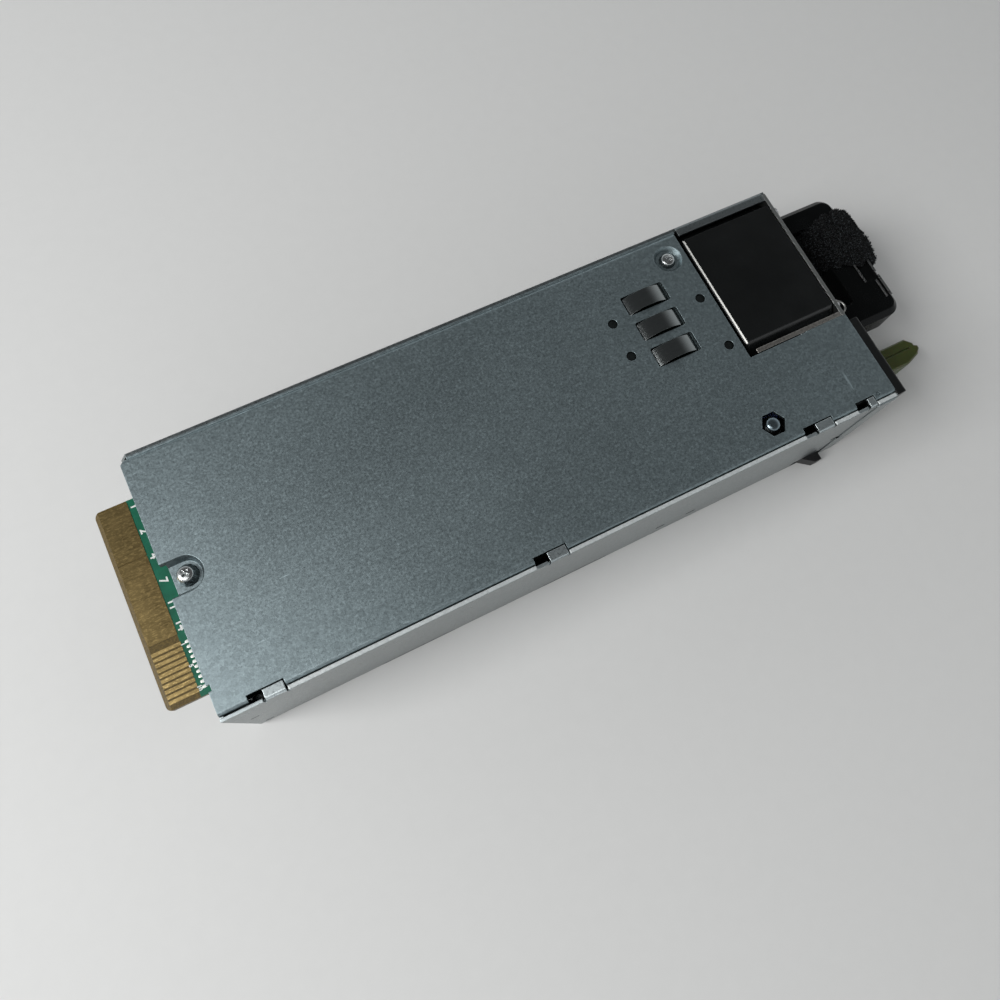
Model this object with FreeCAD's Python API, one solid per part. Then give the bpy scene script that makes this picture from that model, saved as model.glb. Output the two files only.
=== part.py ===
"""Hot-swap server power supply: sheet-metal case, card-edge output, end fan, loop handle and latch.

The model is drawn with X along the case (card edge at the low end, handle at the high end), Y across it
from the latch side and Z up from the resting face, then moved so that the origin lies at the centre of
the bottom of its bounding box. Lengths are millimetres and angles are degrees.
"""
import FreeCAD, Part
import math
import os
from FreeCAD import Vector

# ---------------------------------------------------------------- driving dimensions
# Case: its width and height follow from the fan and the inlet that stand side by side in it
CASE_LENGTH = 184.5
SHEET = 0.8                 # galvanised steel of the tray and the cover
BEND_RADIUS = 1.2           # outside radius of a long bend
WALL_DROP = 0.3             # side walls stop this far below the cover's top face
SEAM = 0.35                 # gap between a side wall and the cover's edge
SEAT_GAP = 0.05             # gap between flat faces that seat on each other
SMALL_SIDES = 12            # sides of a small round piece or hole
COVER_FLANGE = 6.0          # depth of the cover's turned-down edges
CORNER_CUT = 1.4            # chamfer across the cover's far front corner

# Hooks of the near wall that close over the cover; setbacks count from the handle end
HOOK_FRONT = 10.6
HOOK_MIDDLE_SETBACK = 102.4
HOOK_REAR_SETBACK = 24.9
HOOK_LENGTH = 4.8
HOOK_REACH = 2.6            # how far a hook turns in over the cover
HOOK_SLIDE = 3.6            # free length of the notch beside each hook
STUB_HOOK_SETBACK = 8.6     # short hook beside the handle end
STUB_HOOK_LENGTH = 2.0
RELIEF = 0.7                # slit beside each hook
RELIEF_DEPTH = 2.2

# Slots in the near wall: start, length, distance of the lower edge from the floor or the top, width
UPPER_SLOTS = [(1.6, 6.0, 5.8, 0.5), (2.0, 2.2, 19.7, 0.8)]
LOWER_SLOTS = [(1.8, 2.2, 3.2, 0.8), (35.0, 22.0, 1.3, 0.9)]
END_SLOTS = [(99.7, 20.4, 1.3, 0.9), (64.4, 3.0, 7.4, 1.2), (54.3, 3.0, 7.4, 1.2), (8.1, 3.8, 15.2, 1.4)]
NOTCH_SETBACK = 15.9        # small notch in the near wall's top edge
NOTCH_LENGTH = 1.3
BAND_LENGTH = 5.9           # pressed band at the near wall's handle end
BAND_PROUD = 0.3

# Air inlet slots of the tray's front wall
VENT_ROWS = 2
VENT_WIDTH = 3.4
VENT_PITCH = 5.2
VENT_MARGIN = 3.6           # steel left beside the outer slots
VENT_WEB = 2.2              # steel between the rows
VENT_FOOT = 4.0             # lower edge of the first row
VENT_HEAD = 1.9             # steel between the upper row and the card's opening

# Cover openings
WINDOW_SETBACK = 10.5       # from the windows' end to the cut-out over the fan
WINDOW_LENGTH = 12.6
WINDOW_WIDTH = 5.7
WINDOW_CORNER = 0.4
WINDOW_PITCH = 8.1
WINDOW_COUNT = 3
WINDOW_OFFSET = 2.25        # of the middle window from the fan's axis
FRONT_RIVET_SETBACK = 5.3   # from the windows' start
FRONT_RIVET_OFFSETS = [5.1, -5.0]
REAR_RIVET_SETBACK = 7.2    # from the windows' end
REAR_RIVET_OFFSETS = [2.1, -13.0]
RIVET_HOLE_RADIUS = 1.35
RIVET_SHANK_RADIUS = 0.8
RIVET_HEAD_HEIGHT = 0.5
FRONT_SCREW_INSET = 4.6
FRONT_SCREW_OFFSET = 0.5    # from the middle of the case
FRONT_POCKET_RADIUS = 4.4
FRONT_POCKET_DEPTH = 2.2
REAR_SCREW_SETBACK = 5.2    # from the cut-out over the fan
REAR_SCREW_INSET = 7.7      # from the far side
REAR_DIMPLE_RADIUS = 3.9
REAR_DIMPLE_DEPTH = 1.3
POCKET_SLOPE = 0.9          # how much a pocket narrows from its mouth to its floor
SCREW_RADIUS = 1.5
SCREW_CLEARANCE = 0.2
SCREW_LENGTH = 4.6
STUD_SETBACK = 4.3          # from the cut-out over the fan
STUD_INSET = 7.3            # from the near side
STUD_DROP = 0.5             # from the cover's top face to the stud's crown
HEX_ACROSS_FLATS = 5.4
HEX_CLEARANCE = 0.3
WITNESS_SETBACK = 5.0       # small punch mark
WITNESS_INSET = 2.7
WITNESS_RADIUS = 0.55
WITNESS_DEPTH = 0.4

# Circuit board and card edge
BOARD_THICKNESS = 1.6
BOARD_DROP = 8.5            # from the cover's top face to the board's
BOARD_FAN_GAP = 3.4
BOARD_FRONT_GAP = 0.6
BOARD_SIDE_GAP = 3.3
CARD_REACH = 12.0           # how far the card edge stands out of the case
CARD_NEAR = 8.4
CARD_WIDTH = 52.0
CARD_CORNER = 1.5
CARD_MARGIN = 1.2           # opening round the card in the front wall
CARD_BEVEL = 1.1
CARD_BEVEL_DEPTH = 0.5
CONTACT_THICKNESS = 0.1
CONTACT_LENGTH = 7.1
CONTACT_SETBACK = 1.1
SIGNAL_COUNT = 10
SIGNAL_PITCH = 1.32
SIGNAL_WIDTH = 0.84
SIGNAL_OFFSET = 1.75        # from the card's near edge to the first signal contact's centre
POWER_PAD_START = 15.9
POWER_PAD_WIDTH = 20.8
POWER_PAD_GAP = 0.4
POWER_PAD_MARGIN = 0.5      # from the last power contact to the card's far edge

# Pieces under the circuit board, from the card end to the handle end
FLOOR_GAP = 5.1             # from the tray's floor to the deepest of them
CHAIN_START = 16.0          # from the card end of the case to the output capacitors
CHAIN_GAP = 1.0
OUTPUT_CAN_RADIUS = 4.0
OUTPUT_CAN_HEIGHT = 16.0
OUTPUT_CAN_PITCH = 8.8
OUTPUT_CAN_MARGIN = 12.0    # from each side to the centre of the outer can
OUTPUT_SINK_LENGTH = 22.0
OUTPUT_SINK_INSET = 14.0    # from the far side
OUTPUT_CHOKE_LENGTH = 14.0
OUTPUT_CHOKE_WIDTH = 18.0
OUTPUT_CHOKE_HEIGHT = 14.0
CHOKE_INSET = 11.0          # from the near side
TRANSFORMER_LENGTH = 32.0
TRANSFORMER_WIDTH = 24.0
CORE_WINDOW = 0.62          # share of the core's length between its outer legs
CORE_LEG = 0.2              # share of the core's length in its middle leg
CORE_YOKE = 2.0
WINDING_CLEARANCE = 0.2
CAN_GAP = 2.0               # on both sides of the bulk capacitor, along the case
CAN_INSET = 6.0             # from the far side
PRIMARY_SINK_LENGTH = 12.0
SINK_CAN_GAP = 1.5
SINK_PLATE = 2.0
SINK_FIN = 1.0
SINK_FIN_REACH = 5.0
SINK_FIN_COUNT = 5
SINK_FIN_MARGIN = 1.0
PFC_CHOKE_RADIUS = 10.5
PFC_CHOKE_BAR = 4.4
PFC_CHOKE_LENGTH = 20.0
PFC_CHOKE_INSET = 5.0       # from the near side
MAINS_CHOKE_RADIUS = 10.0
MAINS_CHOKE_BAR = 3.6
MAINS_CHOKE_LENGTH = 16.0
MAINS_CHOKE_INSET = 14.0    # from the far side
MAINS_CHOKE_SETBACK = 4.0   # from the board's end
MAINS_CAPACITOR_LENGTH = 14.0
MAINS_CAPACITOR_WIDTH = 20.0
MAINS_CAPACITOR_HEIGHT = 16.0
MAINS_CAPACITOR_INSET = 10.0
MAINS_CAPACITOR_SETBACK = 9.0
CHOKE_BASE = 1.6            # moulded base of the wound chokes

# Posts under the circuit board and the insulating sheet
POST_INSET = 8.5            # from the card end
POST_SIDE_INSET = 6.5
POST_SHEET_INSET = 3.0      # from the insulating sheet's end
POST_END_SETBACK = 9.0      # from the board's end
POST_ACROSS_FLATS = 5.0
FILM_THICKNESS = 0.3
FILM_MARGIN = 3.0
FILM_CLEARANCE = 0.3

# Leads inside the case
LEAD_RADIUS = 1.1
LEAD_SPREAD = 3.0
LEAD_DROP = 4.0             # of a lead below the circuit board
LEAD_SETBACK = 5.0          # from the board's end
FAN_LEAD_RADIUS = 1.0
FAN_LEAD_INSET = 4.0
FAN_LEAD_SETBACK = 3.0

# Fan
FAN_SIZE = 40.0
FAN_DEPTH = 28.0
FAN_CORNER = 3.4
FAN_EDGE = 0.7
FAN_WALL = 1.2              # thinnest wall round the duct
FAN_HOLE_EDGE = 4.0         # from a side of the fan to its screw holes
FAN_HOLE_RADIUS = 1.75
FAN_SIDE_GAP = 0.75         # between the fan and the tray's far wall
FAN_FLOOR_GAP = 0.3         # between the fan and the opening in the floor
FAN_HUB_RADIUS = 9.0
FAN_HUB_LENGTH = 17.0
FAN_HUB_WALL = 1.2
FAN_HUB_FACE = 1.6
FAN_HUB_GAP = 0.6           # between the rotor and the motor's plate
FAN_BLADES = 7
FAN_TIP_GAP = 0.5
FAN_BLADE_CHORD = 15.0
FAN_BLADE_THICKNESS = 0.9
FAN_ROOT_ANGLE = 44.0       # between a blade's chord and the axis
FAN_TIP_ANGLE = 52.0
FAN_STRUTS = 4
FAN_STRUT_WIDTH = 2.0
FAN_MOTOR_PLATE = 2.4
FAN_SHAFT_RADIUS = 1.0
FAN_SHAFT_TAIL = 1.4        # of the shaft beyond the rotor's cup
FAN_TUBE_RADIUS = 3.4
FAN_TUBE_INSET = 5.0        # of the bearing tube inside the rotor's cup
FAN_BEARING_RADIUS = 2.6
FAN_BEARING_LENGTH = 3.0
FAN_STATOR_LENGTH = 7.2
FAN_STATOR_GAP = 0.7        # between the stator and the rotor's cup
FAN_STATOR_SEAT = 0.8       # between the stator and the motor's plate
FAN_SCREW_LENGTH = 9.0
FAN_SCREW_HEAD = 2.75
FAN_SCREW_HEAD_HEIGHT = 2.4
RUNNING_FIT = 0.05

# End panel, bezel and divider
PANEL_THICKNESS = 1.0
PANEL_FAN_GAP = 0.1
BEZEL_THICKNESS = 3.0
BEZEL_INSET = 0.2
BEZEL_MARGIN = 1.7          # from the bezel to the cover's cut-out
BEZEL_ROUND = 0.8
LAMP_RADIUS = 0.95
LAMP_INSET = 2.4
LAMP_DROP = 3.4             # below the inlet
LAMP_FIT = 0.05
LAMP_TAIL = 2.0
CUTOUT_GAP = 1.2            # between the cut-out's end and the fan
DIVIDER_THICKNESS = 0.6
DIVIDER_GAP = 3.1           # between the divider and the inlet
DIVIDER_FAN_GAP = 0.1
DIVIDER_STEP_SETBACK = 14.2
DIVIDER_LOW_DROP = 6.0      # of the low stretch below the cover
DIVIDER_HIGH_DROP = 0.25    # of the high stretch below the case's top
DIVIDER_FOOT = 4.0
DIVIDER_FOOT_SETBACK = 8.0
GRILLE_MARGIN = 0.4
GRILLE_PITCH = 6.4
GRILLE_ACROSS_FLATS = 5.5
GRILLE_KEEP = 3.2           # steel and screw head kept clear round a handle screw

# Inlet for the mains plug
INLET_WIDTH = 20.0
INLET_HEIGHT = 27.4
INLET_DEPTH = 19.0
INLET_SIDE_GAP = 1.8        # between the inlet and the near wall
INLET_TOP_GAP = 0.8         # between the inlet and the cover
INLET_WALL = 1.7
INLET_CORNER = 5.0
INLET_CAVITY = 15.8
INLET_FIT = 0.15
PIN_WIDTH = 4.0
PIN_THICKNESS = 2.0
PIN_LINE_PITCH = 14.0
PIN_EARTH_OFFSET = 4.0
PIN_RECESS = 2.5
PIN_TAIL = 6.0

# Handle and strap
HANDLE_BEZEL_GAP = 0.4
HANDLE_MARGIN = 1.7         # from the handle to the far side of the case
HANDLE_REACH = 29.0         # from the end panel to the front of the grip
HANDLE_ARM = 7.3
HANDLE_GRIP = 13.0
HANDLE_THICKNESS = 10.8
HANDLE_CORNER = 4.0
HANDLE_EDGE = 1.6
HANDLE_INNER_CORNER = 1.0
HANDLE_SCREW_HEAD = 2.5
HANDLE_SCREW_DEPTH = 8.0
GROOVE_DEPTH = 0.5
GROOVE_INSET = 1.8          # from the front of the grip
MAIN_GROOVE = (6.3, -9.2, 14.0)     # setback of its back edge, then its ends from the grip's middle
SIDE_GROOVE = (3.0, -16.0, -10.2)
STRAP_WIDTH = 16.6
STRAP_THICKNESS = 2.6
STRAP_GAP = 0.3
STRAP_SIDE_GAP = 0.8        # between the strap and the handle's far arm
STRAP_CORNER = 0.5
STRAP_LAP = 1.6             # free end of the strap, pressed on over its front
STRAP_LAP_OVERHANG = 3.7

# Latch
PIVOT_SETBACK = 38.5
PIVOT_RADIUS = 1.5
PIVOT_HEAD_RADIUS = 2.9
PIVOT_HEAD_HEIGHT = 0.8
PIVOT_HEAD_GAP = 2.2        # between the lever and the pin's head
LEVER_FOOT = 1.2
LEVER_THICKNESS = 3.6
LEVER_WIDTH = 3.4
LEVER_WALL_GAP = 0.7        # between the near wall and the lever
LEVER_EYE = 3.4
LEVER_EYE_INSET = 0.5       # of the eye from the lever's near face
LEVER_JOG_LAG = 0.4         # share of the width by which the far face turns sooner at the jog
CATCH_SETBACK = 6.8
CATCH_LENGTH = 6.2
CATCH_REACH = 2.6           # how far the catch stands out of the near wall
CATCH_FLAT = 2.2
CATCH_WINDOW_GAP = 1.2
CATCH_WINDOW_FIT = 0.3
JOG_SETBACK = 4.0
JOG_LENGTH = 8.0
JOG_SHIFT = 11.9
TAB_JOG_GAP = 1.0
TAB_LENGTH = 33.5
TAB_WIDTH = 7.6
TAB_HEIGHT = 8.6
TAB_FOOT = 1.4
TAB_TIP = 4.2
TAB_SHOULDER = 1.6          # blunting of the near corner of the tip
TAB_NOSE = 6.0              # solid length of the tab beyond the lever's end
TAB_EDGE = 0.5
TAB_GROOVE_START = 12.0
LEVER_SLOT_GAP = 0.6
LEVER_SWING = 5.0           # travel of the lever in degrees
SPRING_WIRE = 0.45
SPRING_TURNS = 3
SPRING_LEG = 9.0
SPRING_PIN_GAP = 0.25
SPRING_LUG = 1.2
STOP_WIDTH = 2.4
STOP_FILM_GAP = 3.0         # between the spring's stop and the insulating sheet

# Spring strip that earths the case to its bay
STRIP_THICKNESS = 0.3
STRIP_MARGIN = 7.6
STRIP_REAR_MARGIN = 9.4
STRIP_NEAR_MARGIN = 3.4
STRIP_FAR_MARGIN = 0.8
FINGER_WIDTH = 4.9
FINGER_RISE = 1.2           # crest above the cover's top face
FINGER_ROOT = 0.6           # plate left inside each end of a window

# ---------------------------------------------------------------- derived places
# Across the case: near wall, inlet, divider, fan, far wall
INLET_CENTRE_Y = SHEET + INLET_SIDE_GAP + INLET_WIDTH / 2
CUTOUT_NEAR = INLET_CENTRE_Y + INLET_WIDTH / 2 + DIVIDER_GAP
FAN_NEAR = CUTOUT_NEAR + SEAT_GAP + DIVIDER_THICKNESS + DIVIDER_FAN_GAP
FAN_FAR = FAN_NEAR + FAN_SIZE
FAN_Y = FAN_NEAR + FAN_SIZE / 2
CASE_WIDTH = FAN_FAR + FAN_SIDE_GAP + SHEET
CASE_HEIGHT = FAN_SIZE
FAN_Z = CASE_HEIGHT / 2
COVER_UNDERSIDE = CASE_HEIGHT - SHEET
COVER_NEAR = SHEET + SEAM
COVER_FAR = CASE_WIDTH - SHEET - SEAM
INLET_CENTRE_Z = COVER_UNDERSIDE - INLET_TOP_GAP - INLET_HEIGHT / 2

# Along the case: end panel, fan, cover's cut-out, circuit board
PANEL_START = CASE_LENGTH - PANEL_THICKNESS
FAN_END = PANEL_START - PANEL_FAN_GAP
FAN_START = FAN_END - FAN_DEPTH
CUTOUT_START = FAN_START - CUTOUT_GAP
BOARD_END = FAN_START - BOARD_FAN_GAP
BOARD_TOP = CASE_HEIGHT - BOARD_DROP
BOARD_UNDERSIDE = BOARD_TOP - BOARD_THICKNESS
PART_HEIGHT = BOARD_UNDERSIDE - SHEET - FLOOR_GAP

# Openings of the cover and the near wall
HOOK_STARTS = [HOOK_FRONT, CASE_LENGTH - HOOK_MIDDLE_SETBACK, CASE_LENGTH - HOOK_REAR_SETBACK]
STUB_HOOK_START = CASE_LENGTH - STUB_HOOK_SETBACK
WINDOW_END = CUTOUT_START - WINDOW_SETBACK
WINDOW_START = WINDOW_END - WINDOW_LENGTH
WINDOW_MIDDLE_Y = FAN_Y - WINDOW_OFFSET
FINGER_YS = [WINDOW_MIDDLE_Y + (i - (WINDOW_COUNT - 1) / 2) * WINDOW_PITCH for i in range(WINDOW_COUNT)]
RIVETS = [(WINDOW_START - FRONT_RIVET_SETBACK, WINDOW_MIDDLE_Y + offset) for offset in FRONT_RIVET_OFFSETS]
RIVETS += [(WINDOW_END + REAR_RIVET_SETBACK, WINDOW_MIDDLE_Y + offset) for offset in REAR_RIVET_OFFSETS]
FRONT_SCREW = (FRONT_SCREW_INSET, CASE_WIDTH / 2 + FRONT_SCREW_OFFSET)
REAR_SCREW = (CUTOUT_START - REAR_SCREW_SETBACK, CASE_WIDTH - REAR_SCREW_INSET)
HEX_STUD = (CUTOUT_START - STUD_SETBACK, STUD_INSET)

# Pieces under the board: each starts where the one before it ends
CAN_ROW_X = CHAIN_START + OUTPUT_CAN_RADIUS
OUTPUT_SINK_START = CHAIN_START + 2 * OUTPUT_CAN_RADIUS + CHAIN_GAP
OUTPUT_SINK_X = OUTPUT_SINK_START + OUTPUT_SINK_LENGTH / 2
TRANSFORMER_START = OUTPUT_SINK_START + OUTPUT_SINK_LENGTH + CHAIN_GAP
TRANSFORMER_X = TRANSFORMER_START + TRANSFORMER_LENGTH / 2
CAN_START = TRANSFORMER_START + TRANSFORMER_LENGTH + CAN_GAP
MAINS_CAPACITOR_X = BOARD_END - MAINS_CAPACITOR_SETBACK - MAINS_CAPACITOR_LENGTH / 2
CAN_LENGTH = MAINS_CAPACITOR_X - MAINS_CAPACITOR_LENGTH / 2 - CHAIN_GAP - CAN_GAP - CAN_START
CAN_RADIUS = PART_HEIGHT / 2
CAN_Y = CASE_WIDTH - CAN_INSET - CAN_RADIUS

# Handle end
BEZEL_FACE = CASE_LENGTH + BEZEL_THICKNESS
BEZEL_FAR = CUTOUT_NEAR - BEZEL_MARGIN
HANDLE_END = CASE_LENGTH + HANDLE_REACH
HANDLE_NEAR = BEZEL_FAR + HANDLE_BEZEL_GAP
HANDLE_FAR = CASE_WIDTH - HANDLE_MARGIN
HANDLE_Y = (HANDLE_NEAR + HANDLE_FAR) / 2
GRIP_START = HANDLE_END - HANDLE_GRIP
STRAP_NEAR = HANDLE_FAR - HANDLE_ARM - STRAP_SIDE_GAP - STRAP_WIDTH

# Latch
LEVER_NEAR = SHEET + LEVER_WALL_GAP
PIVOT_X = CASE_LENGTH - PIVOT_SETBACK
PIVOT_Y = LEVER_NEAR + LEVER_EYE_INSET + LEVER_EYE
CATCH_BACK = CASE_LENGTH - CATCH_SETBACK
JOG_START = CASE_LENGTH - JOG_SETBACK
TAB_START = JOG_START + JOG_LENGTH + TAB_JOG_GAP
TAB_END = TAB_START + TAB_LENGTH
FILM_END = PIVOT_X - SPRING_LEG - STOP_FILM_GAP
POSTS = [(POST_INSET, POST_SIDE_INSET), (POST_INSET, CASE_WIDTH - POST_SIDE_INSET),
         (FILM_END - POST_SHEET_INSET, POST_SIDE_INSET),
         (BOARD_END - POST_END_SETBACK, CASE_WIDTH - POST_SIDE_INSET)]
ORIGIN = Vector((TAB_END - CARD_REACH) / 2, (CASE_WIDTH - CATCH_REACH) / 2, 0)


# ---------------------------------------------------------------- small helpers
def block(x0, x1, y0, y1, z0, z1):
    """Box between two corners."""
    return Part.makeBox(x1 - x0, y1 - y0, z1 - z0, Vector(x0, y0, z0))


def rod(x, y, z, radius, length, axis=(0, 0, 1)):
    """Cylinder that starts at a point and runs along an axis."""
    return Part.makeCylinder(radius, length, Vector(x, y, z), Vector(*axis))


def prism(points, start, length, plane="XY"):
    """Polygon in a plane, extruded along the third axis."""
    places = {
        "XY": lambda a, b: Vector(a, b, start),
        "XZ": lambda a, b: Vector(a, start, b),
        "YZ": lambda a, b: Vector(start, a, b),
    }
    normals = {"XY": Vector(0, 0, length), "XZ": Vector(0, length, 0), "YZ": Vector(length, 0, 0)}
    corners = [places[plane](a, b) for a, b in points]
    return Part.Face(Part.makePolygon(corners + corners[:1])).extrude(normals[plane])


def regular_prism(x, y, across_flats, sides, z0, z1):
    """Upright prism on a regular polygon with a corner towards +X."""
    reach = across_flats / 2 / math.cos(math.pi / sides)
    points = []
    for i in range(sides):
        angle = 2 * math.pi * i / sides
        points.append((x + reach * math.cos(angle), y + reach * math.sin(angle)))
    return prism(points, z0, z1 - z0)


def hexagon(x, y, across_flats, z0, z1):
    """Upright hexagonal prism."""
    return regular_prism(x, y, across_flats, 6, z0, z1)


def faceted_solid(outlines):
    """Solid bounded by flat faces, each given by its corners."""
    faces = [Part.Face(Part.makePolygon(outline + outline[:1])) for outline in outlines]
    solid = Part.makeSolid(Part.makeShell(faces))
    if solid.Volume < 0:
        solid.reverse()
    return solid


def small_cone(x, y, z, radius, end_radius, length, axis=(0, 0, 1)):
    """Few-sided tapered rod along X or Z."""
    ends = [[], []]
    for i in range(SMALL_SIDES):
        angle = 2 * math.pi * i / SMALL_SIDES
        ends[0].append(Vector(radius * math.cos(angle), radius * math.sin(angle), 0))
        ends[1].append(Vector(end_radius * math.cos(angle), end_radius * math.sin(angle), length))
    sides = [[ends[0][i - 1], ends[0][i], ends[1][i], ends[1][i - 1]] for i in range(SMALL_SIDES)]
    shape = faceted_solid(ends + sides)
    if axis[0]:
        shape.rotate(Vector(0, 0, 0), Vector(0, 1, 0), 90)
    return shape.translated(Vector(x, y, z))


def small_rod(x, y, z, radius, length, axis=(0, 0, 1)):
    """Few-sided rod along X or Z for what repeats: fasteners, their holes, small cans."""
    return small_cone(x, y, z, radius, radius, length, axis)


def bevel_edges(shape, size, wanted):
    """Chamfer the edges that the test picks."""
    return shape.makeChamfer(size, [edge for edge in shape.Edges if wanted(edge)])


def round_edges(shape, radius, wanted):
    """Fillet the edges that the test picks."""
    return shape.makeFillet(radius, [edge for edge in shape.Edges if wanted(edge)])


def along(edge, axis):
    """True for a straight edge along an axis."""
    if not isinstance(edge.Curve, Part.Line):
        return False
    direction = edge.Vertexes[-1].Point - edge.Vertexes[0].Point
    return direction.Length > 0 and abs(direction.normalize().dot(Vector(*axis))) > 0.999


def fuse(shapes):
    """Join solids that belong to one piece."""
    first, rest = shapes[0], shapes[1:]
    return first.multiFuse(rest).removeSplitter() if rest else first


def group(shapes):
    """Keep separate solids together in one node."""
    return Part.makeCompound(shapes)


def channel(y0, y1, z_open, z_closed, x0, x1):
    """Sheet bent to a U along X: a web at z_closed and two flanges that reach to z_open."""
    up = 1 if z_open > z_closed else -1
    height = abs(z_open - z_closed)
    web = block(x0, x1, y0, y1, min(z_open, z_closed), max(z_open, z_closed))
    web = round_edges(web, BEND_RADIUS, lambda e: along(e, (1, 0, 0))
                      and abs(e.CenterOfMass.z - z_closed) < 1e-6)
    inner_low = z_closed + up * SHEET
    inner_high = z_closed + up * (height + 1)
    hollow = block(x0 - 1, x1 + 1, y0 + SHEET, y1 - SHEET, min(inner_low, inner_high),
                   max(inner_low, inner_high))
    return web.cut(hollow)


def edge_hook(x0, x1, wall_y, inward, root):
    """Tab that rises from a side wall and turns in over the case."""
    tip = wall_y + inward * HOOK_REACH
    outer = block(x0, x1, min(wall_y, tip), max(wall_y, tip), root, CASE_HEIGHT)
    outer = round_edges(outer, SHEET, lambda e: along(e, (1, 0, 0))
                        and abs(e.CenterOfMass.y - wall_y) < 1e-6 and e.CenterOfMass.z > root + 1)
    face = wall_y + inward * SHEET
    far = tip + inward
    return outer.cut(block(x0 - 1, x1 + 1, min(face, far), max(face, far), root - 1, COVER_UNDERSIDE))


# ---------------------------------------------------------------- case
def bottom_tray():
    """Floor, two side walls and the vented front wall of the case."""
    tray = channel(0, CASE_WIDTH, CASE_HEIGHT - WALL_DROP, 0, 0, CASE_LENGTH)
    front = block(0, SHEET, SHEET / 2, CASE_WIDTH - SHEET / 2, SHEET / 2, COVER_UNDERSIDE - SEAM)
    hooks = [edge_hook(x, x + HOOK_LENGTH, 0, 1, CASE_HEIGHT / 2) for x in HOOK_STARTS]
    hooks.append(edge_hook(STUB_HOOK_START, STUB_HOOK_START + STUB_HOOK_LENGTH, 0, 1, CASE_HEIGHT / 2))
    lip = edge_hook(FAN_START, PANEL_START - SEAT_GAP, CASE_WIDTH, -1, CASE_HEIGHT / 2)
    tray = fuse([tray, front, lip, spring_stop(), wall_band()] + hooks)
    cuts = [front_vents(), card_slot(), fan_floor_opening(), catch_window(), pivot_hole()]
    cuts += wall_slots()
    for start in HOOK_STARTS:
        cuts += hook_reliefs(start, HOOK_LENGTH)
    cuts += hook_reliefs(STUB_HOOK_START, STUB_HOOK_LENGTH)
    top = CASE_HEIGHT + 1
    cuts.append(prism([(-1, top), (-1, CASE_HEIGHT - 2 * CORNER_CUT), (0, CASE_HEIGHT - 2 * CORNER_CUT),
                       (2 * CORNER_CUT, top)], CASE_WIDTH - 2 * SHEET, 3 * SHEET, "XZ"))
    return tray.cut(group(cuts))


def wall_band():
    """Pressed band of the near wall beside the end panel, slightly proud of the wall."""
    return block(CASE_LENGTH - BAND_LENGTH, CASE_LENGTH, -BAND_PROUD, SHEET / 2, 2 * SHEET,
                 CASE_HEIGHT - 2 * SHEET)


def wall_slots():
    """Narrow slots and a small notch in the near wall."""
    spans = [(start, length, CASE_HEIGHT - drop, width) for start, length, drop, width in UPPER_SLOTS]
    spans += LOWER_SLOTS
    spans += [(CASE_LENGTH - setback, length, foot, width) for setback, length, foot, width in END_SLOTS]
    spans.append((CASE_LENGTH - NOTCH_SETBACK, NOTCH_LENGTH, CASE_HEIGHT - NOTCH_LENGTH, 2 * NOTCH_LENGTH))
    return [block(start, start + length, -1, 2 * SHEET, foot, foot + width)
            for start, length, foot, width in spans]


def hook_reliefs(start, length):
    """Slits that free a hook from the wall on both sides."""
    foot = CASE_HEIGHT - RELIEF_DEPTH
    return [block(x, x + RELIEF, -1, HOOK_REACH + 1, foot, CASE_HEIGHT + 1)
            for x in (start - RELIEF, start + length)]


def front_vents():
    """Rows of upright slots in the front wall below the circuit board."""
    columns = int((CASE_WIDTH - 2 * VENT_MARGIN) / VENT_PITCH)
    room = BOARD_UNDERSIDE - CARD_MARGIN - VENT_HEAD - VENT_FOOT
    height = (room - (VENT_ROWS - 1) * VENT_WEB) / VENT_ROWS
    slots = []
    for row in range(VENT_ROWS):
        foot = VENT_FOOT + row * (height + VENT_WEB)
        for column in range(columns):
            y = CASE_WIDTH / 2 + (column - (columns - 1) / 2) * VENT_PITCH - VENT_WIDTH / 2
            slots.append(block(-1, SHEET + 1, y, y + VENT_WIDTH, foot, foot + height))
    return group(slots)


def card_slot():
    """Opening in the front wall that the circuit board leaves through."""
    return block(-1, SHEET + BOARD_FRONT_GAP, CARD_NEAR - CARD_MARGIN, CARD_NEAR + CARD_WIDTH + CARD_MARGIN,
                 BOARD_UNDERSIDE - CARD_MARGIN, CASE_HEIGHT + 1)


def fan_floor_opening():
    """Opening in the floor that lets the full-height fan sit flush with the case."""
    gap = FAN_FLOOR_GAP
    return block(FAN_START - gap, FAN_END + gap, FAN_NEAR - gap, FAN_FAR + gap, -1, SHEET + gap)


def catch_window():
    """Window in the near wall that the latch's catch comes out of."""
    gap = CATCH_WINDOW_GAP
    return block(CATCH_BACK - CATCH_LENGTH - 2 * gap, CATCH_BACK + gap, -1, SHEET + 1,
                 LEVER_FOOT - CATCH_WINDOW_FIT, LEVER_FOOT + LEVER_THICKNESS + CATCH_WINDOW_FIT)


def pivot_hole():
    """Hole in the floor that the latch pin is riveted into."""
    return rod(PIVOT_X, PIVOT_Y, -1, PIVOT_RADIUS, SHEET + 2)


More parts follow.
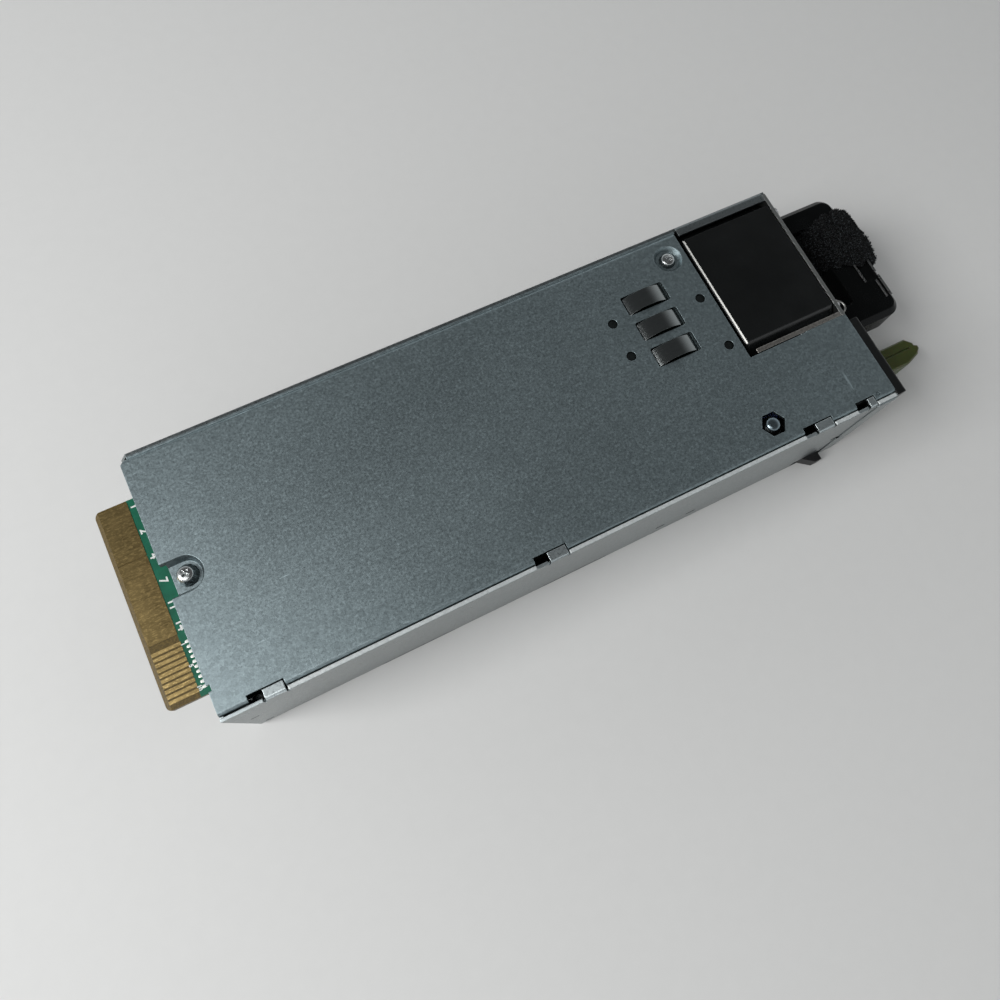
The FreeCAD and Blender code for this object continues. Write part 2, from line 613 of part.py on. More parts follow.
def top_cover():
    """Sliding cover with turned-down edges, windows, screw pockets and the cut-out over the fan."""
    cover = channel(COVER_NEAR, COVER_FAR, CASE_HEIGHT - COVER_FLANGE, CASE_HEIGHT, 0, CASE_LENGTH)
    cover = fuse([cover, front_pocket_body(), rear_dimple_body()])
    cuts = [front_pocket_recess(), rear_dimple_recess()]
    cuts.append(block(CUTOUT_START, CASE_LENGTH + 1, CUTOUT_NEAR, CASE_WIDTH, CASE_HEIGHT / 2,
                      CASE_HEIGHT + 1))
    cuts.append(block(PANEL_START - SEAT_GAP, CASE_LENGTH + 1, 0, CUTOUT_NEAR + 1, 0, COVER_UNDERSIDE))
    cuts.append(block(-1, SHEET + SEAM, 0, CASE_WIDTH, 0, COVER_UNDERSIDE - SEAM / 2))
    for start in HOOK_STARTS:
        cuts.append(hook_notch(start - HOOK_SLIDE, start + HOOK_LENGTH + SEAM))
    cuts.append(hook_notch(STUB_HOOK_START - HOOK_SLIDE, STUB_HOOK_START + STUB_HOOK_LENGTH + SEAM))
    cuts.append(block(-1, SHEET, CARD_NEAR - CARD_MARGIN, CARD_NEAR + SEAM, COVER_UNDERSIDE - 1,
                      CASE_HEIGHT + 1))
    for y in FINGER_YS:
        cuts.append(window(y))
    for x, y in RIVETS:
        cuts.append(small_rod(x, y, COVER_UNDERSIDE - 1, RIVET_HOLE_RADIUS, SHEET + 2))
    cuts.append(hexagon(CASE_LENGTH - WITNESS_SETBACK, WITNESS_INSET, 2 * WITNESS_RADIUS,
                        CASE_HEIGHT - WITNESS_DEPTH, CASE_HEIGHT + 1))
    cuts.append(hexagon(HEX_STUD[0], HEX_STUD[1], HEX_ACROSS_FLATS + 2 * HEX_CLEARANCE,
                        COVER_UNDERSIDE - 1, CASE_HEIGHT + 1))
    cuts.append(prism([(-1, CASE_WIDTH + 1), (-1, COVER_FAR - CORNER_CUT), (0, COVER_FAR - CORNER_CUT),
                       (CORNER_CUT, COVER_FAR), (CORNER_CUT, CASE_WIDTH + 1)], 0, CASE_HEIGHT + 1))
    return cover.cut(group(cuts))


def hook_notch(x0, x1):
    """Notch in the cover's near edge that a hook drops through before the cover slides shut."""
    return block(x0, x1, -1, HOOK_REACH + SEAM, CASE_HEIGHT - COVER_FLANGE - 1, CASE_HEIGHT + 1)


def window(y):
    """Window that a spring finger rises through, with its corners cut."""
    half = WINDOW_WIDTH / 2
    shape = block(WINDOW_START, WINDOW_END, y - half, y + half, COVER_UNDERSIDE - 1, CASE_HEIGHT + 1)
    return bevel_edges(shape, WINDOW_CORNER, lambda e: along(e, (0, 0, 1)))


def open_pocket(radius_top, radius_floor, z_top, z_floor):
    """Tapered pocket round the front screw that runs out through the front edge."""
    x, y = FRONT_SCREW
    cup = Part.makeCone(radius_floor, radius_top, z_top - z_floor, Vector(x, y, z_floor))
    trough = prism([(y - radius_top, z_top), (y - radius_floor, z_floor), (y + radius_floor, z_floor),
                    (y + radius_top, z_top)], -2.0, x + 2.0, "YZ")
    return fuse([cup, trough])


def front_pocket_body():
    """Metal of the front pocket, drawn down below the cover."""
    outside = open_pocket(FRONT_POCKET_RADIUS + SHEET / 2, FRONT_POCKET_RADIUS - POCKET_SLOPE + SHEET,
                          CASE_HEIGHT - SHEET / 2, COVER_UNDERSIDE - FRONT_POCKET_DEPTH)
    return outside.common(block(0, CASE_LENGTH, 0, CASE_WIDTH, 0, CASE_HEIGHT))


def front_pocket_recess():
    """Hollow of the front pocket and its screw hole."""
    hollow = open_pocket(FRONT_POCKET_RADIUS, FRONT_POCKET_RADIUS - POCKET_SLOPE, CASE_HEIGHT,
                         CASE_HEIGHT - FRONT_POCKET_DEPTH)
    return hollow.fuse(small_rod(FRONT_SCREW[0], FRONT_SCREW[1], CASE_HEIGHT / 2,
                                 SCREW_RADIUS + SCREW_CLEARANCE, CASE_HEIGHT / 2))


def rear_dimple_body():
    """Metal of the round dimple, drawn down below the cover."""
    floor = COVER_UNDERSIDE - REAR_DIMPLE_DEPTH
    return Part.makeCone(REAR_DIMPLE_RADIUS - POCKET_SLOPE + SHEET / 2, REAR_DIMPLE_RADIUS + SHEET / 2,
                         REAR_DIMPLE_DEPTH + SHEET / 2, Vector(REAR_SCREW[0], REAR_SCREW[1], floor))


def rear_dimple_recess():
    """Hollow of the round dimple and its screw hole."""
    place = Vector(REAR_SCREW[0], REAR_SCREW[1], CASE_HEIGHT - REAR_DIMPLE_DEPTH)
    hollow = Part.makeCone(REAR_DIMPLE_RADIUS - POCKET_SLOPE, REAR_DIMPLE_RADIUS, REAR_DIMPLE_DEPTH, place)
    return hollow.fuse(small_rod(place.x, place.y, CASE_HEIGHT / 2, SCREW_RADIUS + SCREW_CLEARANCE,
                                 CASE_HEIGHT / 2))


def screw(x, y, seat, head_radius, head_height, length):
    """Screw with a low tapered head, driven down from a seat."""
    head = small_cone(x, y, seat, head_radius, head_radius - head_height / 2, head_height)
    return fuse([head, small_rod(x, y, seat - length, SCREW_RADIUS, length)])


def cover_screws():
    """The two screws that hold the cover to the board's standoffs."""
    front_seat = CASE_HEIGHT - FRONT_POCKET_DEPTH
    rear_seat = CASE_HEIGHT - REAR_DIMPLE_DEPTH
    return group([screw(FRONT_SCREW[0], FRONT_SCREW[1], front_seat, FRONT_POCKET_RADIUS - 2 * SHEET,
                        FRONT_POCKET_DEPTH - BAND_PROUD, SCREW_LENGTH),
                  screw(REAR_SCREW[0], REAR_SCREW[1], rear_seat, REAR_DIMPLE_RADIUS - 2 * SHEET,
                        REAR_DIMPLE_DEPTH - BAND_PROUD, SCREW_LENGTH)])


def standoff(place, top):
    """Tapped hexagonal spacer that stands on the board."""
    body = hexagon(place[0], place[1], HEX_ACROSS_FLATS, BOARD_TOP, top)
    return body.cut(small_rod(place[0], place[1], top - SHEET - SCREW_LENGTH, SCREW_RADIUS, 2 * SCREW_LENGTH))


def board_standoffs():
    """Spacers between the circuit board and the cover's two screw pockets."""
    return group([standoff(FRONT_SCREW, COVER_UNDERSIDE - FRONT_POCKET_DEPTH),
                  standoff(REAR_SCREW, COVER_UNDERSIDE - REAR_DIMPLE_DEPTH)])


def hex_stud():
    """Clinched stud whose domed hexagonal head shows through the cover."""
    x, y = HEX_STUD
    top = CASE_HEIGHT - STUD_DROP
    body = hexagon(x, y, HEX_ACROSS_FLATS, BOARD_TOP, top)
    crown = Part.makeCone(HEX_ACROSS_FLATS, HEX_ACROSS_FLATS / 4, HEX_ACROSS_FLATS,
                          Vector(x, y, top - HEX_ACROSS_FLATS))
    return body.common(crown.fuse(rod(x, y, BOARD_TOP - 1, HEX_ACROSS_FLATS, top - SHEET - BOARD_TOP)))


# ---------------------------------------------------------------- earthing strip
def ground_spring():
    """Thin plate under the cover with a bowed contact finger in every window."""
    half = FINGER_WIDTH / 2
    x0 = WINDOW_START - STRIP_MARGIN
    x1 = WINDOW_END + STRIP_REAR_MARGIN
    y0 = FINGER_YS[0] - WINDOW_WIDTH / 2 - STRIP_NEAR_MARGIN
    y1 = FINGER_YS[-1] + WINDOW_WIDTH / 2 + STRIP_FAR_MARGIN
    top = COVER_UNDERSIDE
    plate = block(x0, x1, y0, y1, top - STRIP_THICKNESS, top)
    holes = [block(WINDOW_START + FINGER_ROOT, WINDOW_END - FINGER_ROOT, y - WINDOW_WIDTH / 2,
                   y + WINDOW_WIDTH / 2, top - 1, top + 1) for y in FINGER_YS]
    holes += [hexagon(x, y, 2 * RIVET_SHANK_RADIUS, top - 1, top + 1) for x, y in RIVETS]
    fingers = []
    for y in FINGER_YS:
        fingers.append(bowed_finger(y - half))
    return fuse([plate.cut(group(holes))] + fingers)


def bowed_finger(y0):
    """One contact finger, bowed up through its window as an arc of thin spring steel."""
    a = WINDOW_START + FINGER_ROOT / 2
    b = WINDOW_END - FINGER_ROOT / 2
    low = COVER_UNDERSIDE - STRIP_THICKNESS
    crest = CASE_HEIGHT + FINGER_RISE
    middle = (a + b) / 2
    outer = Part.Arc(Vector(a, y0, low + STRIP_THICKNESS), Vector(middle, y0, crest),
                     Vector(b, y0, low + STRIP_THICKNESS)).toShape()
    inner = Part.Arc(Vector(a, y0, low), Vector(middle, y0, crest - STRIP_THICKNESS),
                     Vector(b, y0, low)).toShape()
    ends = [Part.makeLine(Vector(a, y0, low), Vector(a, y0, low + STRIP_THICKNESS)),
            Part.makeLine(Vector(b, y0, low), Vector(b, y0, low + STRIP_THICKNESS))]
    wire = Part.Wire(Part.__sortEdges__([outer, inner] + ends))
    return Part.Face(wire).extrude(Vector(0, FINGER_WIDTH, 0))


def spring_rivets():
    """Rivets that hold the earthing strip, sunk in the cover's round holes."""
    low = COVER_UNDERSIDE - STRIP_THICKNESS
    rivets = []
    for x, y in RIVETS:
        head = hexagon(x, y, 2 * (RIVET_HOLE_RADIUS - SEAT_GAP) * math.cos(math.radians(30)), COVER_UNDERSIDE,
                       COVER_UNDERSIDE + RIVET_HEAD_HEIGHT)
        shank = hexagon(x, y, 2 * RIVET_SHANK_RADIUS, low - RIVET_HEAD_HEIGHT, COVER_UNDERSIDE)
        upset = hexagon(x, y, 2 * RIVET_HOLE_RADIUS, low - RIVET_HEAD_HEIGHT, low)
        rivets.append(fuse([head, shank, upset]))
    return group(rivets)


# ---------------------------------------------------------------- circuit board
def main_board():
    """Circuit board whose front end is the bevelled card edge."""
    front = SHEET + BOARD_FRONT_GAP
    body = block(front, BOARD_END, BOARD_SIDE_GAP, CASE_WIDTH - BOARD_SIDE_GAP, BOARD_UNDERSIDE, BOARD_TOP)
    card = block(-CARD_REACH, front, CARD_NEAR, CARD_NEAR + CARD_WIDTH, BOARD_UNDERSIDE, BOARD_TOP)
    card = round_edges(card, CARD_CORNER, lambda e: along(e, (0, 0, 1)) and e.CenterOfMass.x < 0)
    bevel_top = prism([(-CARD_REACH - 1, BOARD_TOP + 1), (-CARD_REACH - 1, BOARD_TOP - 1),
                       (-CARD_REACH, BOARD_TOP - CARD_BEVEL_DEPTH), (-CARD_REACH + CARD_BEVEL, BOARD_TOP),
                       (-CARD_REACH + CARD_BEVEL, BOARD_TOP + 1)], 0, CASE_WIDTH, "XZ")
    middle = Vector(0, 0, (BOARD_TOP + BOARD_UNDERSIDE) / 2)
    bevel_low = bevel_top.mirror(middle, Vector(0, 0, 1))
    return fuse([body, card]).cut(group([bevel_top, bevel_low]))


def contact_rows(spans):
    """Contact pads on both faces of the card edge, from their starts and widths across the card."""
    x0 = -CARD_REACH + CONTACT_SETBACK
    pads = []
    for y0, width in spans:
        pads.append(block(x0, x0 + CONTACT_LENGTH, y0, y0 + width, BOARD_TOP, BOARD_TOP + CONTACT_THICKNESS))
        pads.append(block(x0, x0 + CONTACT_LENGTH, y0, y0 + width, BOARD_UNDERSIDE - CONTACT_THICKNESS,
                          BOARD_UNDERSIDE))
    return group(pads)


def power_contacts():
    """Wide contact pads that carry the output current."""
    first = CARD_NEAR + POWER_PAD_START
    second = first + POWER_PAD_WIDTH + POWER_PAD_GAP
    last = CARD_NEAR + CARD_WIDTH - POWER_PAD_MARGIN
    return contact_rows([(first, POWER_PAD_WIDTH), (second, last - second)])


def signal_contacts():
    """Row of narrow contact fingers at the card's near end."""
    first = CARD_NEAR + SIGNAL_OFFSET - SIGNAL_WIDTH / 2
    return contact_rows([(first + i * SIGNAL_PITCH, SIGNAL_WIDTH) for i in range(SIGNAL_COUNT)])


def hung(x, y, length, width, height):
    """Block that hangs from the board's underside, given by its middle and size."""
    return block(x - length / 2, x + length / 2, y - width / 2, y + width / 2,
                 BOARD_UNDERSIDE - height, BOARD_UNDERSIDE)


def ring(x, y, z, radius, bar):
    """Ring of square section round a line along X."""
    outer = rod(x - bar, y, z, radius, 2 * bar, (1, 0, 0))
    return outer.cut(rod(x - bar - 1, y, z, radius - 2 * bar, 2 * bar + 2, (1, 0, 0)))


def wound_core(x, y, radius, bar, length):
    """Choke: a wound ring on a moulded base that the board carries."""
    base = hung(x, y, length, 2 * radius, CHOKE_BASE)
    centre = BOARD_UNDERSIDE - CHOKE_BASE / 2 - radius
    return fuse([base, ring(x, y, centre, radius, bar)])


def pfc_choke():
    """Choke of the power-factor stage, beside the bulk capacitor."""
    return wound_core(CAN_START + PFC_CHOKE_LENGTH / 2, PFC_CHOKE_INSET + PFC_CHOKE_RADIUS, PFC_CHOKE_RADIUS,
                      PFC_CHOKE_BAR, PFC_CHOKE_LENGTH)


def mains_choke():
    """Common-mode choke of the mains filter."""
    x = BOARD_END - MAINS_CHOKE_SETBACK - MAINS_CHOKE_LENGTH / 2
    y = CASE_WIDTH - MAINS_CHOKE_INSET - MAINS_CHOKE_RADIUS
    return wound_core(x, y, MAINS_CHOKE_RADIUS, MAINS_CHOKE_BAR, MAINS_CHOKE_LENGTH)


def mains_capacitor():
    """Boxed film capacitor of the mains filter."""
    return hung(MAINS_CAPACITOR_X, MAINS_CAPACITOR_INSET + MAINS_CAPACITOR_WIDTH / 2, MAINS_CAPACITOR_LENGTH,
                MAINS_CAPACITOR_WIDTH, MAINS_CAPACITOR_HEIGHT)


def output_choke():
    """Moulded block choke of the output filter."""
    body = hung(OUTPUT_SINK_X, CHOKE_INSET + OUTPUT_CHOKE_WIDTH / 2, OUTPUT_CHOKE_LENGTH, OUTPUT_CHOKE_WIDTH,
                OUTPUT_CHOKE_HEIGHT)
    return bevel_edges(body, CHOKE_BASE, lambda e: along(e, (0, 0, 1)))


def core_window(clearance):
    """Space between the transformer's yokes that holds its winding, less a clearance."""
    middle = BOARD_UNDERSIDE - PART_HEIGHT / 2
    half = PART_HEIGHT / 2 - CORE_YOKE - clearance
    reach = TRANSFORMER_LENGTH * CORE_WINDOW / 2 - clearance
    return block(TRANSFORMER_X - reach, TRANSFORMER_X + reach, 0, CASE_WIDTH, middle - half, middle + half)


def main_transformer():
    """Ferrite core: two yokes, two outer legs and the middle leg inside the winding."""
    y = CASE_WIDTH / 2
    core = hung(TRANSFORMER_X, y, TRANSFORMER_LENGTH, TRANSFORMER_WIDTH, PART_HEIGHT)
    leg = hung(TRANSFORMER_X, y, TRANSFORMER_LENGTH * CORE_LEG, TRANSFORMER_WIDTH, PART_HEIGHT)
    return fuse([core.cut(core_window(0)), leg])


def transformer_winding():
    """Coil round the core's middle leg, a little wider than the core."""
    y = CASE_WIDTH / 2
    body = hung(TRANSFORMER_X, y, TRANSFORMER_LENGTH, TRANSFORMER_WIDTH + 2 * CORE_YOKE, PART_HEIGHT)
    body = body.common(core_window(WINDING_CLEARANCE))
    leg = TRANSFORMER_LENGTH * CORE_LEG + 2 * WINDING_CLEARANCE
    return body.cut(hung(TRANSFORMER_X, y, leg, TRANSFORMER_WIDTH + 2 * WINDING_CLEARANCE, PART_HEIGHT))


def finned_heatsink(x, y, length):
    """Extruded heatsink: a plate across the board with fins along its near side."""
    parts = [hung(x, y, length, SINK_PLATE, PART_HEIGHT)]
    pitch = (PART_HEIGHT - 2 * SINK_FIN_MARGIN - SINK_FIN) / SINK_FIN_COUNT
    for i in range(SINK_FIN_COUNT):
        z = BOARD_UNDERSIDE - PART_HEIGHT + SINK_FIN_MARGIN + i * pitch
        parts.append(block(x - length / 2, x + length / 2, y - SINK_FIN_REACH, y, z, z + SINK_FIN))
    return fuse(parts)


def primary_heatsink():
    """Heatsink of the mains-side transistors, against the bulk capacitor's near side."""
    y = CAN_Y - CAN_RADIUS - SINK_CAN_GAP - SINK_PLATE / 2
    return finned_heatsink(CAN_START + PRIMARY_SINK_LENGTH / 2, y, PRIMARY_SINK_LENGTH)


def output_heatsink():
    """Heatsink of the output rectifiers, behind the output capacitors."""
    return finned_heatsink(OUTPUT_SINK_X, CASE_WIDTH - OUTPUT_SINK_INSET, OUTPUT_SINK_LENGTH)


def bulk_capacitor():
    """Large capacitor can lying along the case just under the board."""
    return rod(CAN_START, CAN_Y, BOARD_UNDERSIDE - CAN_RADIUS, CAN_RADIUS, CAN_LENGTH, (1, 0, 0))


def output_capacitors():
    """Row of upright cans behind the card edge, spread over the width."""
    count = int((CASE_WIDTH - 2 * OUTPUT_CAN_MARGIN) / OUTPUT_CAN_PITCH + 0.01) + 1
    cans = []
    for i in range(count):
        y = CASE_WIDTH / 2 + (i - (count - 1) / 2) * OUTPUT_CAN_PITCH
        cans.append(small_rod(CAN_ROW_X, y, BOARD_UNDERSIDE - OUTPUT_CAN_HEIGHT, OUTPUT_CAN_RADIUS,
                              OUTPUT_CAN_HEIGHT))
    return group(cans)


def insulating_sheet():
    """Thin sheet that keeps the board's parts off the tray's floor."""
    sheet = block(FILM_MARGIN, FILM_END, FILM_MARGIN, CASE_WIDTH - FILM_MARGIN, SHEET, SHEET + FILM_THICKNESS)
    grown = POST_ACROSS_FLATS + 2 * FILM_CLEARANCE
    return sheet.cut(group([hexagon(x, y, grown, 0, BOARD_UNDERSIDE) for x, y in POSTS]))


def board_posts():
    """Hexagonal posts pressed into the floor that carry the circuit board."""
    return group([hexagon(x, y, POST_ACROSS_FLATS, SHEET, BOARD_UNDERSIDE) for x, y in POSTS])


def bent_wire(points, radius):
    """Six-sided wire swept through a list of points that starts along X."""
    start = Vector(*points[0])
    section = []
    for i in range(7):
        angle = math.radians(60 * i)
        section.append(start + Vector(0, math.cos(angle), math.sin(angle)) * radius)
    path = Part.makePolygon([Vector(*point) for point in points])
    return path.makePipeShell([Part.makePolygon(section)], True, False, 1)


def inlet_leads():
    """Insulated wires from the inlet's blades to the circuit board."""
    x0 = BEZEL_FACE - INLET_DEPTH - PIN_TAIL
    leads = []
    for i, (y, z) in enumerate(pin_places()):
        x = BOARD_END - LEAD_SETBACK
        side = y + (i - 1) * LEAD_SPREAD
        level = min(z, BOARD_UNDERSIDE - LEAD_DROP)
        route = [(x0, y, z), (x0 - LEAD_SPREAD - i, y, z), (x, side, level), (x, side, BOARD_UNDERSIDE)]
        leads.append(bent_wire(route, LEAD_RADIUS))
    return group(leads)


def fan_lead():
    """Flat ribbon of the fan's wires, from its frame to the circuit board."""
    x = BOARD_END - FAN_LEAD_SETBACK
    y = FAN_FAR - FAN_CORNER - FAN_LEAD_INSET
    z = BOARD_UNDERSIDE - LEAD_DROP
    return bent_wire([(FAN_START, y, z), (x, y, z), (x, y, BOARD_UNDERSIDE)], FAN_LEAD_RADIUS)


# ---------------------------------------------------------------- fan
def fan_frame():
    """Square housing with the air duct, four screw holes and the motor's spokes."""
    half = FAN_SIZE / 2
    duct = half - FAN_WALL
    body = block(FAN_START, FAN_END, FAN_NEAR, FAN_FAR, FAN_Z - half, FAN_Z + half)
    body = bevel_edges(body, FAN_CORNER, lambda e: along(e, (1, 0, 0)))
    body = bevel_edges(body, FAN_EDGE, lambda e: abs(e.BoundBox.XMin - e.BoundBox.XMax) < 1e-6)
    body = body.cut(rod(FAN_START - 1, FAN_Y, FAN_Z, duct, FAN_DEPTH + 2, (1, 0, 0)))
    holes = [small_rod(FAN_START - 1, y, z, FAN_HOLE_RADIUS, FAN_DEPTH + 2, (1, 0, 0))
             for y, z in fan_hole_places()]
    plate_start = FAN_END - FAN_MOTOR_PLATE
    plate = rod(plate_start, FAN_Y, FAN_Z, FAN_HUB_RADIUS, FAN_MOTOR_PLATE, (1, 0, 0))
    tube_start = bearing_tube_start()
    tube = rod(tube_start, FAN_Y, FAN_Z, FAN_TUBE_RADIUS, FAN_END - tube_start, (1, 0, 0))
    spokes = []
    for i in range(FAN_STRUTS):
        spoke = block(plate_start, FAN_END, FAN_Y, FAN_Y + half - FAN_WALL / 2, FAN_Z - FAN_STRUT_WIDTH / 2,
                      FAN_Z + FAN_STRUT_WIDTH / 2)
        spokes.append(spoke.rotate(Vector(0, FAN_Y, FAN_Z), Vector(1, 0, 0), 45 + i * 360 / FAN_STRUTS))
    bore = rod(FAN_START, FAN_Y, FAN_Z, FAN_BEARING_RADIUS, FAN_DEPTH - FAN_HUB_WALL, (1, 0, 0))
    return fuse([body.cut(group(holes)), plate, tube] + spokes).cut(bore)


def bearing_tube_start():
    """End of the frame's bearing tube inside the rotor's cup."""
    return rotor_start() + FAN_TUBE_INSET


def rotor_start():
    """Closed face of the rotor's cup."""
    return FAN_END - FAN_MOTOR_PLATE - FAN_HUB_GAP - FAN_HUB_LENGTH


def fan_hole_places():
    """Centres of the fan's four screw holes."""
    half = FAN_SIZE / 2 - FAN_HOLE_EDGE
    return [(FAN_Y + a * half, FAN_Z + b * half) for a in (-1, 1) for b in (-1, 1)]


def fan_rotor():
    """Hub cup with its ring of twisted blades."""
    start = rotor_start()
    hub = rod(start, FAN_Y, FAN_Z, FAN_HUB_RADIUS, FAN_HUB_LENGTH, (1, 0, 0))
    hub = bevel_edges(hub, FAN_HUB_WALL, lambda e: isinstance(e.Curve, Part.Circle)
                      and e.CenterOfMass.x < start + 1)
    cup = rod(start + FAN_HUB_FACE, FAN_Y, FAN_Z, FAN_HUB_RADIUS - FAN_HUB_WALL, FAN_HUB_LENGTH, (1, 0, 0))
    bore = rod(start - 1, FAN_Y, FAN_Z, FAN_SHAFT_RADIUS, FAN_HUB_LENGTH, (1, 0, 0))
    hub = hub.cut(cup).cut(bore)
    blades = []
    for i in range(FAN_BLADES):
        blade = fan_blade(start + FAN_HUB_LENGTH / 2)
        blades.append(blade.rotate(Vector(0, FAN_Y, FAN_Z), Vector(1, 0, 0), i * 360 / FAN_BLADES))
    return fuse([hub] + blades)


def blade_section(x, height, angle):
    """Corners of a blade's section at a height above the axis, turned by its angle."""
    lead = math.radians(angle)
    chord = Vector(math.cos(lead), math.sin(lead), 0) * (FAN_BLADE_CHORD / 2)
    thick = Vector(-math.sin(lead), math.cos(lead), 0) * (FAN_BLADE_THICKNESS / 2)
    middle = Vector(x, FAN_Y, FAN_Z + height)
    return [middle - chord - thick, middle + chord - thick, middle + chord + thick, middle - chord + thick]


def fan_blade(x):
    """One blade in flat facets: its chord turns from the hub to the tip."""
    sweep = FAN_BLADE_CHORD / 2 * math.sin(math.radians(FAN_TIP_ANGLE))
    tip = math.sqrt((FAN_SIZE / 2 - FAN_WALL - FAN_TIP_GAP) ** 2 - sweep ** 2)
    root = blade_section(x, FAN_HUB_RADIUS - FAN_HUB_WALL / 2, FAN_ROOT_ANGLE)
    end = blade_section(x, tip, FAN_TIP_ANGLE)
    outlines = [root, end]
    for a, b in ((3, 0), (0, 1), (1, 2), (3, 2)):
        outlines.append([root[a], root[b], end[b]])
        outlines.append([root[a], end[b], end[a]])
    return faceted_solid(outlines)


def fan_shaft():
    """Steel shaft pressed into the rotor and turning in the two bearings."""
    return rod(rotor_start(), FAN_Y, FAN_Z, FAN_SHAFT_RADIUS, FAN_HUB_LENGTH + FAN_SHAFT_TAIL, (1, 0, 0))


def fan_bearings():
    """Two ball bearings in the frame's tube."""
    first = bearing_tube_start()
    last = FAN_END - FAN_MOTOR_PLATE - FAN_BEARING_LENGTH
    rings = []
    for x in (first, last):
        race = rod(x, FAN_Y, FAN_Z, FAN_BEARING_RADIUS, FAN_BEARING_LENGTH, (1, 0, 0))
        rings.append(race.cut(rod(x - 1, FAN_Y, FAN_Z, FAN_SHAFT_RADIUS + RUNNING_FIT,
                                  FAN_BEARING_LENGTH + 2, (1, 0, 0))))
    return group(rings)


def fan_stator():
    """Wound stator on the bearing tube, inside the rotor's cup."""
    start = FAN_END - FAN_MOTOR_PLATE - FAN_STATOR_SEAT - FAN_STATOR_LENGTH
    radius = FAN_HUB_RADIUS - FAN_HUB_WALL - FAN_STATOR_GAP
    core = rod(start, FAN_Y, FAN_Z, radius, FAN_STATOR_LENGTH, (1, 0, 0))
    return core.cut(rod(start - 1, FAN_Y, FAN_Z, FAN_TUBE_RADIUS, FAN_STATOR_LENGTH + 2, (1, 0, 0)))


def fan_screws():
    """Four domed screws that hold the fan to the end panel."""
    screws = []
    for y, z in fan_hole_places():
        upright = screw(0, 0, 0, FAN_SCREW_HEAD, FAN_SCREW_HEAD_HEIGHT, FAN_SCREW_LENGTH)
        upright.rotate(Vector(0, 0, 0), Vector(0, 1, 0), 90)
        screws.append(upright.translated(Vector(CASE_LENGTH, y, z)))
    return group(screws)


# ---------------------------------------------------------------- handle end
def grille_holes():
    """Honeycomb of hexagonal air holes inside a circle."""
    holes = []
    radius = FAN_SIZE / 2 - FAN_WALL - GRILLE_MARGIN
    rows = int(radius / (GRILLE_PITCH * math.sqrt(3) / 2)) + 1
    reach = radius - GRILLE_ACROSS_FLATS / math.sqrt(3)
    for row in range(-rows, rows + 1):
        for column in range(-rows, rows + 1):
            y = (column + (row % 2) / 2) * GRILLE_PITCH
            z = row * GRILLE_PITCH * math.sqrt(3) / 2
            if math.hypot(y, z) < reach and clear_of_handle_screws(FAN_Y + y, FAN_Z + z):
                hole = hexagon(0, 0, GRILLE_ACROSS_FLATS, 0, 3 * PANEL_THICKNESS)
                hole.rotate(Vector(0, 0, 0), Vector(0, 1, 0), 90)
                holes.append(hole.translated(Vector(PANEL_START - PANEL_THICKNESS, FAN_Y + y, FAN_Z + z)))
    return group(holes)


def end_panel():
    """Steel panel that closes the handle end: honeycomb in front of the fan, inlet and latch openings."""
    near = block(PANEL_START, CASE_LENGTH, SHEET + SEAT_GAP, CUTOUT_NEAR + 1, SHEET + SEAT_GAP,
                 COVER_UNDERSIDE - SEAT_GAP)
    far = block(PANEL_START, CASE_LENGTH, CUTOUT_NEAR + SEAT_GAP, CASE_WIDTH - SHEET - SEAT_GAP,
                SHEET + SEAT_GAP, CASE_HEIGHT)
    depth = PANEL_THICKNESS + 2
    cuts = [grille_holes(), inlet_outline(INLET_FIT, PANEL_START - 1, depth),
            lever_slot(PANEL_START - 1, depth), lamp_hole()]
    for y, z in fan_hole_places():
        cuts.append(small_rod(PANEL_START - 1, y, z, FAN_HOLE_RADIUS, depth, (1, 0, 0)))
    for y in handle_screw_ys():
        cuts.append(flat_screw(y, SEAT_GAP))
    return fuse([near, far]).cut(group(cuts))


def inlet_outline(grow, x, length):
    """Six-sided outline of the inlet, grown by a clearance and extruded along X."""
    half_y = INLET_WIDTH / 2 + grow
    half_z = INLET_HEIGHT / 2 + grow
    cut = INLET_CORNER
    y, z = INLET_CENTRE_Y, INLET_CENTRE_Z
    points = [(y - half_y, z - half_z), (y + half_y - cut, z - half_z), (y + half_y, z - half_z + cut),
              (y + half_y, z + half_z - cut), (y + half_y - cut, z + half_z), (y - half_y, z + half_z)]
    return prism(points, x, length, "YZ")


def lever_slot(x, length):
    """Opening that the latch lever swings in, seen along X."""
    gap = LEVER_SLOT_GAP
    near = LEVER_NEAR + JOG_SHIFT * (PANEL_START - JOG_START) / JOG_LENGTH - gap
    travel = (TAB_START - PIVOT_X) * math.tan(math.radians(LEVER_SWING))
    far = LEVER_NEAR + JOG_SHIFT + LEVER_WIDTH + travel + gap
    return block(x, x + length, near, far, 0, LEVER_FOOT + LEVER_THICKNESS + gap)


def bezel():
    """Black moulded plate round the inlet, the latch lever and the status lamp."""
    body = block(CASE_LENGTH, BEZEL_FACE, BEZEL_INSET, BEZEL_FAR, BEZEL_INSET, CASE_HEIGHT - BEZEL_INSET)
    body = round_edges(body, BEZEL_ROUND, lambda e: e.BoundBox.XMin > BEZEL_FACE - 1e-6)
    depth = BEZEL_THICKNESS + 2
    cuts = [inlet_outline(INLET_FIT, CASE_LENGTH - 1, depth), lever_slot(CASE_LENGTH - 1, depth), lamp_hole()]
    return body.cut(group(cuts))


def lamp_hole():
    """Round hole for the status lamp."""
    y, z = lamp_place()
    return small_rod(PANEL_START - 1, y, z, LAMP_RADIUS + LAMP_FIT, BEZEL_THICKNESS + PANEL_THICKNESS + 2,
                     (1, 0, 0))


